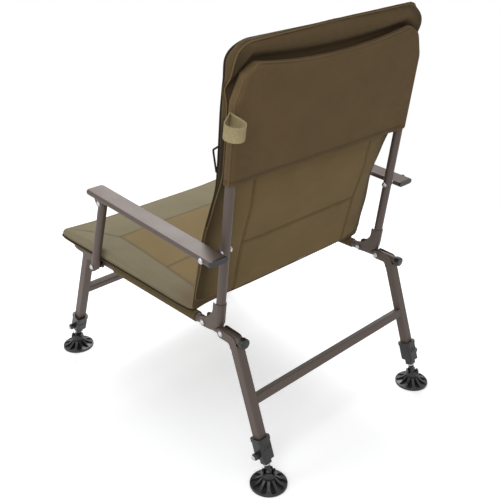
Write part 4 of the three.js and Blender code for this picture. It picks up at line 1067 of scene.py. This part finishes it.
def sewn(seams, width):
    """1 on the nearest of some seams, fading beside it; each is (distance, where it runs)."""
    return np.maximum.reduce([drawn(distance, width) * there for distance, there in seams])


def creases(points, size, seed):
    """Soft folds, from -1 to 1, at places in mm; size is that of a fold along each axis."""
    values = np.empty(len(points))
    for place, point in enumerate(points / np.array(size) + seed):
        spot = Vector(point)
        values[place] = noise.noise(spot) + 0.5 * noise.noise(spot * 2.3)
    return values / 1.5


def folded(points, *folds):
    """The sum of soft folds, each with its size along each axis, its seed, where it lies and its height."""
    return sum(creases(points, size, seed) * where * height for size, seed, where, height in folds)


def rounded_rim(inside, radius):
    """How far a face's edge is drawn in at a distance inside the edge."""
    remaining = 1 - np.clip(inside / radius, 0, 1)
    return radius * (1 - np.sqrt(1 - remaining ** 2))


# Share of a cushion's points that is drawn towards its edges, where the shape turns most
EDGEWARD = 0.35


def cushion_block(name, columns, rows, layers):
    """A grid drawn out in layers to a closed block, and its points' shares across, along and through it.

    The faces round its edge take the second material.
    """
    begin()
    bpy.ops.mesh.primitive_grid_add(x_subdivisions=columns, y_subdivisions=rows, size=2)
    piece = bpy.context.object
    piece.name = name
    open_mesh(piece)
    for _ in range(layers):
        draw_out((0, 0, 1 / layers))
    close_mesh()
    for face in piece.data.polygons:
        face.material_index = 1 if abs(face.normal.z) < 0.5 else 0
    points = points_of(piece)
    across, along = np.clip(points[:, 0], -1, 1), np.clip((points[:, 1] + 1) / 2, 0, 1)
    across = np.sin(across * math.pi / 2) * EDGEWARD + across * (1 - EDGEWARD)
    along = (1 - np.cos(along * math.pi)) / 2 * EDGEWARD + along * (1 - EDGEWARD)
    return piece, across, along, np.clip(points[:, 2], 0, 1)


def rim_of(across, along, through, side):
    """The points of one face's edge, in order round it from the middle of its end at share 0."""
    on_face = np.abs(through - side) < 0.01
    on_edge = (np.abs(across) > 0.9999) | (along < 0.0001) | (along > 0.9999)
    chosen = np.nonzero(on_face & on_edge)[0]
    angle = np.arctan2(across[chosen], 0.5 - along[chosen])
    return chosen[np.argsort(angle)]


CLOTH_SETTINGS = {"use_pressure": True, "uniform_pressure_force": 4.0, "quality": 4, "mass": 0.3}
CLOTH_STEPS = 20


def inflate(piece, swell, freedom):
    """Cloth under pressure, without weight; no point moves further than the swell times its freedom."""
    start = points_of(piece)
    set_points(piece, start * MILLIMETRE)
    take(piece)
    modifier = piece.modifiers.new("cloth", "CLOTH")
    for label, value in CLOTH_SETTINGS.items():
        setattr(modifier.settings, label, value)
    modifier.settings.effector_weights.gravity = 0.0
    scene = bpy.context.scene
    for step in range(1, CLOTH_STEPS + 1):
        scene.frame_set(step)
    evaluated = piece.evaluated_get(bpy.context.evaluated_depsgraph_get())
    moved = points_of(evaluated) / MILLIMETRE
    piece.modifiers.remove(modifier)
    scene.frame_set(1)
    shift = moved - start
    length = np.linalg.norm(shift, axis=1, keepdims=True)
    shift *= np.minimum(1.0, swell * freedom[:, None] / np.maximum(length, 1e-9))
    set_points(piece, start + shift)


def subdivided(piece):
    add_modifier(piece, "SUBSURF", levels=1, render_levels=1, subdivision_type="CATMULL_CLARK")


def evened(path, closed=True, rounds=3):
    """The places of a path, each drawn towards its neighbours."""
    path = np.array(path, dtype=float)
    for _ in range(rounds):
        if closed:
            path = (np.roll(path, 1, axis=0) + 2 * path + np.roll(path, -1, axis=0)) / 4
        else:
            path[1:-1] = (path[:-2] + 2 * path[1:-1] + path[2:]) / 4
    return path


def trim_along(path, radius, place, closed=True):
    """A round trim along a list of places in mm, settled in the chair's frame."""
    curve = bpy.data.curves.new("trim", "CURVE")
    curve.dimensions = "3D"
    curve.bevel_depth = radius
    curve.bevel_resolution = 2
    curve.use_fill_caps = not closed
    spline = curve.splines.new("POLY")
    spline.points.add(len(path) - 1)
    spline.points.foreach_set("co", np.column_stack([path, np.ones(len(path))]).ravel())
    spline.use_cyclic_u = closed
    piece = bpy.data.objects.new("trim", curve)
    bpy.context.scene.collection.objects.link(piece)
    take(piece)
    bpy.ops.object.convert(target="MESH")
    piece = bpy.context.object
    smooth(piece, 60)
    keep_place(piece)
    settle(piece, place)
    return piece


# Seat cushion, in the seat frame
SEAT_HALF_WIDTH = 291.5
SEAT_LENGTH = 540
SEAT_WAIST = 3
SEAT_CORNER_DRAW = 0.018
SEAT_REAR = 160.0
SEAT_REAR_BOW = 16.0
SEAT_FRONT = 371.0
SEAT_FRONT_BOW = 22.0
SEAT_SIDE_HEIGHT = 50.0
SEAT_REAR_HEIGHT = 20.0
SEAT_CROWN = 10.0
SEAT_BOTTOM = 13.1
SEAT_FRONT_DROP = 8.0
SEAT_PAST_RAIL = 3.7
SEAT_LOW_EDGE = 2.5
SEAT_LOW_NOSE = 5.0
SEAT_HIGH_EDGE = 4.5
SEAT_HIGH_NOSE = 10.0
# Share of the height between the rear edge and the sides, by share of the length from the rear
SEAT_HEIGHT_SHARES = (
    (-0.1, 0), (0, 0), (0.27, 0.4), (0.6, 0.92), (0.78, 1), (0.92, 0.86), (0.98, 0.62), (1.1, 0.5))
SWELL = 5.0
SEAM_WIDTH = 4.5
SEAM_OVERRUN = 3
SEAT_PIPING_RADIUS = 2.0
SEAT_PIPING_UP = 1.5
SEAT_PIPING_OUT = 1.004
SEAT_WELT_RADIUS = 2.6
SEAT_WELT_DOWN = 4.5
SEAT_WELT_IN = 0.990


def make_seat_cushion():
    piece, across, along, through = cushion_block("seat_pad", 84, 78, 4)
    side = np.abs(across)
    front = -SEAT_FRONT - SEAT_FRONT_BOW * side ** 5
    rear = SEAT_REAR - SEAT_REAR_BOW * (1 - side ** 6)
    endwise = np.abs(along * 2 - 1)
    half = SEAT_HALF_WIDTH - SEAT_WAIST * (1 - endwise ** 2)
    x = across * half * (1 - SEAT_CORNER_DRAW * endwise ** 12)
    y = (rear + (front - rear) * along) * (1 - SEAT_CORNER_DRAW * side ** 12)
    edge = SEAT_REAR_HEIGHT + (SEAT_SIDE_HEIGHT - SEAT_REAR_HEIGHT) * eased(SEAT_HEIGHT_SHARES, along)
    crown = SEAT_CROWN * (1 - side ** 4) * np.sqrt(np.sin(np.pi * np.clip(along, 0, 1)))
    to_front = (1 - along) * SEAT_LENGTH
    inside = np.minimum.reduce([(1 - side) * SEAT_HALF_WIDTH, to_front, along * SEAT_LENGTH])
    past_rail = np.clip((-y - SEAT_FRONT - SEAT_PAST_RAIL) / SEAT_FRONT_BOW, 0, 1)
    low = SEAT_BOTTOM - SEAT_FRONT_DROP * past_rail
    low = low + rounded_rim(inside, SEAT_LOW_EDGE) + rounded_rim(to_front, SEAT_LOW_NOSE)
    high = edge + crown - 2.0 - rounded_rim(inside, SEAT_HIGH_EDGE) - rounded_rim(to_front, SEAT_HIGH_NOSE)
    high = np.maximum(high, low + 5)
    set_points(piece, np.column_stack([x, y, low + (high - low) * through]))
    inflate(piece, SWELL, np.clip(through * 1.3, 0, 1) * np.clip(0.25 + inside / 40, 0, 1))
    rim = points_of(piece)[rim_of(across, along, through, 0.0)]
    piping = evened(rim + (0, 0, SEAT_PIPING_UP)) * (SEAT_PIPING_OUT, SEAT_PIPING_OUT, 1)
    welt = piping * (SEAT_WELT_IN, SEAT_WELT_IN, 1) - (0, 0, SEAT_WELT_DOWN)
    subdivided(piece)
    local = points_of(piece)
    x, y = np.abs(local[:, 0]), local[:, 1]
    in_panel = (y > -SEAT_PANEL_FRONT - SEAM_OVERRUN).astype(float)
    in_width = (x < SEAT_PANEL_HALF + SEAM_OVERRUN).astype(float)
    seams = ((x - SEAT_PANEL_HALF, in_panel), (y + SEAT_PANEL_FRONT, in_width), (y - SEAT_CHANNEL, in_width))
    groove = sewn(seams, SEAM_WIDTH)
    relief = folded(
        local,
        ((70, 45, 200), 3.1, 1, 1.3),
        ((60, 13, 200), 7.7, sewn(seams[:1], 24), 1.4),
        ((13, 60, 200), 9.3, sewn(seams[1:], 24), 1.4),
        ((40, 11, 200), 2.2, drawn(x - SEAT_HALF_WIDTH, 20), 1.2))
    relief = relief + sewn(seams, 26) * (1 - groove) * 1.2 - groove * 3.0
    push(piece, np.clip(normals_of(piece)[:, 2] * 1.5, 0, 1) * relief)
    smooth(piece, 180)
    keep_place(piece)
    settle(piece, SEAT)
    dress(piece, "seat_pad", SEAT_CLOTH, "seat_frame", "seat_cloth", "seat_cushion")
    for name, path, radius, cloth, slot in (
            ("seat_piping", piping, SEAT_PIPING_RADIUS, DARK_PIPING, "seat_cloth"),
            ("seat_welt", welt, SEAT_WELT_RADIUS, SLING_CLOTH, "sling_cloth")):
        dress(trim_along(path, radius, SEAT), name, cloth, "seat_frame", slot)


# Head pocket, in the back frame: a cover that is closed all round but at its foot
POCKET_HALF_WIDTH = 289.0
POCKET_RADIUS = 14.0
POCKET_TOP = 578.0
POCKET_TOP_BOW = 19.0
POCKET_TOP_TILT = 5.0
POCKET_INSET = 54.0
POCKET_CORNER_DROP = 70.0
POCKET_CORNER_HALF = 236.0
# Share of the inset, by share of the corner's drop
POCKET_CORNER_SHARES = ((-0.1, 0), (0, 0), (0.74, 0.4), (1, 1), (1.1, 1.2))
POCKET_CLOTH_WALL = 1.6
POCKET_SAG = 1.6
POCKET_CORNER_PULL = 45
POCKET_FOOT_PULL = 110
POCKET_SEAM_INSIDE = 17
POCKET_PIPING_BEHIND = 7.6
POCKET_PIPING_INSIDE = 2.0
POCKET_PIPING_RADIUS = 1.8


def pocket_top(across):
    """Height of the cover's upper edge, which is bowed up towards its corners and tilted."""
    return POCKET_TOP + POCKET_TOP_BOW * across ** 2 - POCKET_TOP_TILT * across


def pocket_half(up, top):
    """Half the cover's width at a height, drawn in towards its top corners."""
    drop = np.clip((up - top + POCKET_CORNER_DROP) / POCKET_CORNER_DROP, 0, 1)
    return POCKET_HALF_WIDTH - POCKET_INSET * np.interp(drop, *np.array(POCKET_CORNER_SHARES).T)


def pocket_panel(facing):
    """One wall of the cover: the rear one, at facing 1, has folds, and the one at -1 lies on the cushion."""
    begin()
    bpy.ops.mesh.primitive_grid_add(x_subdivisions=132, y_subdivisions=72, size=2)
    panel = bpy.context.object
    points = points_of(panel)
    across = np.sin(points[:, 0] * math.pi / 2) * 0.6 + points[:, 0] * 0.4
    along = np.sin((points[:, 1] + 1) * math.pi / 4) * 0.4 + (points[:, 1] + 1) / 2 * 0.6
    across, along = np.clip(across, -1, 1), np.clip(along, 0, 1)
    top = pocket_top(across)
    up = POCKET_FOOT + (top - POCKET_FOOT) * along
    half = pocket_half(up, top)
    x = across * half
    to_side, to_top = (1 - np.abs(across)) * half, top - up
    rest = [1 - np.clip(distance / POCKET_RADIUS, 0, 1) for distance in (to_side, to_top)]
    depth = POCKET_RADIUS * np.minimum(*[np.sqrt(1 - share ** 2) for share in rest])
    if facing > 0:
        inside = np.minimum(to_side, to_top)
        level = np.zeros_like(x)
        settled = np.clip((inside - 6) / 30, 0, 1)
        corner = np.hypot(np.abs(x) - POCKET_CORNER_HALF, up - POCKET_TOP)
        low_corner = np.hypot(np.abs(x) - RAIL_HALF_SPAN + 5, up - POCKET_FOOT)
        relief = folded(
            np.column_stack([x, level, up]),
            ((120, 9, 70), 1.9, settled, 2.6),
            ((34, 9, 130), 5.3, settled, 1.4),
            ((9, 9, 26), 3.7, np.exp(-corner / POCKET_CORNER_PULL), 3.2),
            ((12, 9, 60), 6.1, drawn(up - POCKET_FOOT, 34), 1.5),
            ((60, 9, 15), 2.9, drawn(to_side - 22, 26), 1.3))
        slanted = np.column_stack([np.abs(x) * 0.8 + up * 0.6, level, up * 0.8 - np.abs(x) * 0.6])
        relief += folded(slanted, ((150, 9, 22), 4.9, settled * np.exp(-low_corner / POCKET_FOOT_PULL), 4.4))
        relief -= POCKET_SAG * np.clip(to_side / 200, 0, 1) * np.clip(to_top / 120, 0, 1) * settled
        relief -= drawn(inside - POCKET_SEAM_INSIDE, 2.6) * 0.5
        relief -= drawn(up - POCKET_FOOT - HEM_WIDTH, 2.2) * 1.1
        depth = depth + relief * np.clip(inside / 8, 0, 1)
    set_points(panel, np.column_stack([x, BACK_TUBE_OFFSET + facing * depth, up]))
    return panel


def pocket_piping():
    """The piped seam along the cover's sides and top, just inside its outline."""
    share = np.linspace(-1, 1, 241)
    sign = np.sign(share)
    climb = np.clip((1 - np.abs(share)) * 2, 0, 1)
    side_up = POCKET_FOOT + (pocket_top(sign) - POCKET_FOOT) * climb
    side_top = pocket_top(sign) - POCKET_TOP_BOW * 0.1
    side_x = sign * (pocket_half(side_up, side_top) - POCKET_PIPING_INSIDE)
    across = np.clip(share * 2, -1, 1)
    top_x = across * (POCKET_HALF_WIDTH - POCKET_INSET - POCKET_PIPING_INSIDE)
    on_side = np.abs(share) > 0.5
    x = np.where(on_side, side_x, top_x)
    up = np.where(on_side, np.minimum(side_up, side_top), pocket_top(across) - POCKET_PIPING_INSIDE)
    behind = np.full_like(x, BACK_TUBE_OFFSET + POCKET_PIPING_BEHIND)
    path = evened(np.column_stack([x, behind, up]), closed=False)
    return trim_along(path, POCKET_PIPING_RADIUS, BACK, closed=False)


def make_head_pocket():
    piece = joined(pocket_panel(1), pocket_panel(-1))
    open_mesh(piece)
    close_mesh(merge=0.05)
    keep_place(piece)
    add_modifier(piece, "SOLIDIFY", thickness=POCKET_CLOTH_WALL, offset=-1.0)
    smooth(piece, 60)
    settle(piece, BACK)
    dress(piece, "pocket_cover", POCKET_CLOTH, "back", "back_cloth", "head_pocket")
    dress(pocket_piping(), "pocket_piping", BROWN_PIPING, "back", "back_cloth")


# Back cushion, in the back frame
BACK_HALF_WIDTH = 286.0
BACK_TOP = 632.0
BACK_TOP_TILT = 8.0
BACK_TOP_SHIFT = 5.0
BACK_TOP_ROUND = 40.0
BACK_FOOT = 12.0
BACK_HEEL_RISE = 28.0
BACK_FRONT_AHEAD = 80.0
BACK_REAR_AHEAD = 50.0
BACK_WRAP = 27.0
BACK_CROWN = 12.0
BACK_WAIST = 10.0
BACK_ROLL = 13.0
BACK_ROLL_AHEAD = 5.0
BACK_NECK = 12.0
BACK_EDGE = 4.5
BACK_BULGE = 6.0
BACK_SMOOTH_TOP = 598
POCKET_AHEAD = 15.2
# Shares of how far the front, the rear and the wrapped sides stand ahead, by share of the height
BACK_FRONT_SHARES = (
    (-0.1, 0.96), (0, 0.98), (0.1, 1), (0.21, 0.95), (0.32, 0.85), (0.43, 0.66), (0.51, 0.5), (0.8, 0.51),
    (0.94, 0.4), (0.985, 0.36), (1, 0.3), (1.1, 0.1))
BACK_REAR_SHARES = (
    (-0.1, 1), (0, 1), (0.12, 0.92), (0.25, 0.7), (0.38, 0.38), (0.52, 0.28), (1, 0.28), (1.1, 0.28))
BACK_WRAP_SHARES = (
    (-0.1, 0.9), (0, 0.8), (0.15, 0.55), (0.3, 1), (0.43, 0.7), (0.54, 0.1), (0.56, 0), (1.1, 0))
# Trims of the cushion's two faces: cloth, radius, share through the cushion, and whether it runs all round
BACK_TRIMS = {"front": (BACK_PIPING, 2.4, 1.0, False), "rear": (BROWN_PIPING, 1.6, 0.0, True)}
TRIM_STANDS_OUT = 1.4


def make_back_cushion():
    piece, across, along, through = cushion_block("back_pad", 84, 92, 5)
    side = np.abs(across)
    foot = BACK_FOOT + BACK_HEEL_RISE * (1 - through)
    up = foot + (BACK_TOP - foot) * along
    corner = BACK_TOP_ROUND * (1 - np.sqrt(1 - (1 - np.clip((BACK_TOP - up) / BACK_TOP_ROUND, 0, 1)) ** 2))
    waist = BACK_WAIST * np.sin(np.pi * np.clip((up - BACK_FOOT) / (BACK_TOP - BACK_FOOT), 0, 1))
    half = BACK_HALF_WIDTH - waist - corner
    lean = along ** 4
    x = across * half - BACK_TOP_SHIFT * lean
    crown = BACK_CROWN * (1 - side ** 4) * np.sqrt(np.sin(np.pi * np.maximum(along, 0.25)) * (along < 1))
    inside = np.minimum.reduce([(1 - side) * half, (BACK_TOP - up), (up - foot)])
    ahead = BACK_FRONT_AHEAD * eased(BACK_FRONT_SHARES, along) + crown - 1.0
    wrap = BACK_WRAP * side ** 6 * eased(BACK_WRAP_SHARES, along)
    behind = np.maximum(BACK_REAR_AHEAD * eased(BACK_REAR_SHARES, along) + wrap, POCKET_AHEAD)
    # Over the pocket the cushion draws in behind the pocket's edge, then swells out again to a roll
    over = pocket_top(across)
    over = over - POCKET_CORNER_DROP * np.clip((np.abs(x) - POCKET_CORNER_HALF) / POCKET_INSET, 0, 1)
    clear = up - BACK_TOP_TILT * across * lean - over
    roll = np.sin(np.pi * np.clip(clear / (BACK_TOP - over), 0, 1) ** 1.7)
    behind = behind + BACK_NECK * drawn(clear - 2, 14) - BACK_ROLL * roll
    ahead = ahead + BACK_ROLL_AHEAD * roll
    slim = np.minimum(BACK_EDGE, (ahead - behind) * 0.4)
    behind = behind + rounded_rim(inside, slim)
    ahead = np.maximum(ahead - rounded_rim(inside, slim), behind + 3)
    y = BACK_TUBE_OFFSET - behind - (ahead - behind) * through
    bulge = (0.25 + 0.75 * np.sin(np.pi * through)) * np.clip(1 - inside / 6, 0, 1) * BACK_BULGE
    x = x + np.sign(across) * bulge * (side > 0.98)
    z = up - BACK_TOP_TILT * across * lean + bulge * (along > 0.99)
    set_points(piece, np.column_stack([x, y, z]))
    clear_of_pocket = np.clip((POCKET_FOOT - 20 - z) / 60, 0, 1) + np.clip(clear / 12, 0, 1)
    freedom = np.maximum(np.clip(through * 1.5, 0, 1), clear_of_pocket * 0.6)
    inflate(piece, SWELL, freedom * np.clip(0.2 + inside / 40, 0, 1))
    outline = points_of(piece) + normals_of(piece) * TRIM_STANDS_OUT
    paths = {}
    for name, (_, _, face, closed) in BACK_TRIMS.items():
        rim = rim_of(across, along, through, face)
        if not closed:
            rim = np.roll(rim, -(len(rim) // 2))
            rim = rim[along[rim] > 0.0001]
        paths[name] = evened(outline[rim], closed)
    subdivided(piece)
    local = points_of(piece)
    facing = normals_of(piece)[:, 1]
    x, z = np.abs(local[:, 0]), local[:, 2]
    below = (z < POCKET_FOOT).astype(float)
    in_width = (x < BACK_SEAM_HALF + SEAM_OVERRUN).astype(float)
    seams = ((x - BACK_SEAM_HALF, below), (z - BACK_SEAM_UP, in_width))
    groove = sewn(seams, SEAM_WIDTH)
    relief = folded(
        local,
        ((70, 90, 60), 1.3, 1, 1.4),
        ((60, 90, 14), 5.9, sewn(seams[:1], 26), 1.3),
        ((14, 90, 60), 8.1, sewn(seams[1:], 26), 1.3),
        ((16, 60, 60), 4.4, drawn(z - BACK_TOP, 34), 1.2))
    relief = relief + sewn(seams, 24) * (1 - groove) * 0.9 - groove * 2.4
    # The rear face stays smooth where the pocket lies on it
    covered = (facing > 0.3) & (z > POCKET_FOOT - 12) & (z < BACK_SMOOTH_TOP)
    push(piece, np.clip(np.abs(facing) * 1.3, 0, 1) * np.where(covered, 0.0, 1.0) * relief)
    smooth(piece, 180)
    keep_place(piece)
    settle(piece, BACK)
    piece.data.materials.append(BACK_CLOTH)
    piece.data.materials.append(BACK_GUSSET)
    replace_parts(piece, "back_cushion")
    pieces = [piece]
    for name, (cloth, radius, _, closed) in BACK_TRIMS.items():
        trim = trim_along(paths[name], radius, BACK, closed)
        trim.name = trim.data.name = f"back_{name}_piping"
        trim.data.materials.append(cloth)
        pieces.append(trim)
    for part in pieces:
        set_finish(part, "back_cloth")
        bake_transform(part)


# Webbing loop: a band bent into a drop and sewn to the pocket's side edge at its tip
LOOP_UP = 491.0
LOOP_REACH = 44.0
LOOP_RADIUS = 21.5
LOOP_BAND = 30.0
LOOP_CLOTH = 1.8
LOOP_TURN = 60.0
LOOP_DROOP = 5.0
LOOP_OUT = 1.2
LOOP_TIP = 12
LOOP_TIP_HALF = 0.95
LOOP_WAVE = 0.5
LOOP_WAVE_REACH = 9
LOOP_EDGE = 0.4
LOOP_COLUMNS = 120
LOOP_ROWS = 6


def make_webbing_loop():
    begin()
    bpy.ops.mesh.primitive_circle_add(
        vertices=LOOP_COLUMNS, radius=1, fill_type="NOTHING", location=(0, 0, -LOOP_BAND / 2))
    piece = bpy.context.object
    bpy.ops.object.transform_apply(location=True)
    open_mesh(piece)
    for _ in range(LOOP_ROWS):
        draw_out((0, 0, LOOP_BAND / LOOP_ROWS))
    close_mesh()
    points = points_of(piece)
    height = points[:, 2]
    share = (np.arctan2(points[:, 1], points[:, 0]) / (2 * math.pi)) % 1.0
    radius = LOOP_RADIUS - LOOP_CLOTH
    touch = math.pi - math.acos(radius / LOOP_REACH)
    straight = math.sqrt(LOOP_REACH ** 2 - radius ** 2)
    length = 2 * straight + radius * touch * 2
    run = ((share + 0.5) % 1.0) * length
    # From its tip the band runs straight out, round the drop's end and straight back
    first, last = np.clip(run / straight, 0, 1), np.clip((length - run) / straight, 0, 1)
    angle = -touch + (run - straight) / radius
    out_x, out_y = radius * math.cos(touch) + LOOP_REACH, radius * math.sin(touch)
    parts = [run < straight, run > length - straight]
    x = np.select(parts, [out_x * first, out_x * last], LOOP_REACH + radius * np.cos(angle))
    y = np.select(parts, [-out_y * first, out_y * last], radius * np.sin(angle))
    y = y + np.where(parts[0], -1, 1) * np.clip(1 - x / LOOP_TIP, 0, 1) * LOOP_TIP_HALF
    wave = LOOP_WAVE * np.sin(run / LOOP_WAVE_REACH)
    set_points(piece, np.column_stack([x + LOOP_OUT, y, height + wave]))
    keep_place(piece, np.column_stack([run, np.zeros_like(run), height]) * MILLIMETRE)
    add_modifier(piece, "SOLIDIFY", thickness=LOOP_CLOTH, offset=0.0)
    round_edges(piece, LOOP_EDGE, 2, 50)
    smooth(piece, 50)
    tip = (POCKET_HALF_WIDTH + 1.0, BACK_TUBE_OFFSET, LOOP_UP)
    settle(piece, BACK @ Matrix.Translation(tip) @ turned(LOOP_TURN, "Z") @ turned(LOOP_DROOP, "Y"))
    dress(piece, "tan_webbing_loop", WEBBING, "back", "webbing", "webbing_loop")


# Thin loop of cord on the cushion's edge
LOOP_CORD_RADIUS = 2.0
LOOP_CORD_UP = 366.0
LOOP_CORD_HEIGHT = 54.0
LOOP_CORD_AHEAD = 38.0
LOOP_CORD_KNEE = 0.94
LOOP_CORD_POINTS = 14


def make_edge_cord():
    inverse = BACK.inverted()
    low, high = (inverse @ (Vector(corner) / MILLIMETRE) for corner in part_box("edge_loop"))
    side, reach = low.x + LOOP_CORD_RADIUS, high.x - LOOP_CORD_RADIUS
    ahead = BACK_TUBE_OFFSET - LOOP_CORD_AHEAD
    corners = np.array([
        (side, ahead, LOOP_CORD_UP), (reach, ahead, LOOP_CORD_UP + LOOP_CORD_HEIGHT * LOOP_CORD_KNEE),
        (side, ahead, LOOP_CORD_UP + LOOP_CORD_HEIGHT)])
    path = [start + (end - start) * share for start, end in zip(corners[:-1], corners[1:])
            for share in np.linspace(0, 1, LOOP_CORD_POINTS, endpoint=False)]
    path = evened([*path, corners[-1]], closed=False)
    piece = trim_along(path, LOOP_CORD_RADIUS, BACK, closed=False)
    dress(piece, "black_edge_cord", BLACK_STRAP, "back", "black_plastic", "edge_loop")


def make_sling():
    piece = edges_of_cad("seat_sling", 0.0004)
    add_modifier(piece, "TRIANGULATE")
    matrix = np.array(SEAT.inverted())
    local = points_of(piece) / MILLIMETRE @ matrix[:3, :3].T + matrix[:3, 3]
    keep_place(piece, local * MILLIMETRE)
    dress(piece, "sling_cover", SLING_CLOTH, "seat_frame", "sling_cloth", "seat_sling")


make_seat_cushion()
make_back_cushion()
make_head_pocket()
make_webbing_loop()
make_edge_cord()
make_sling()
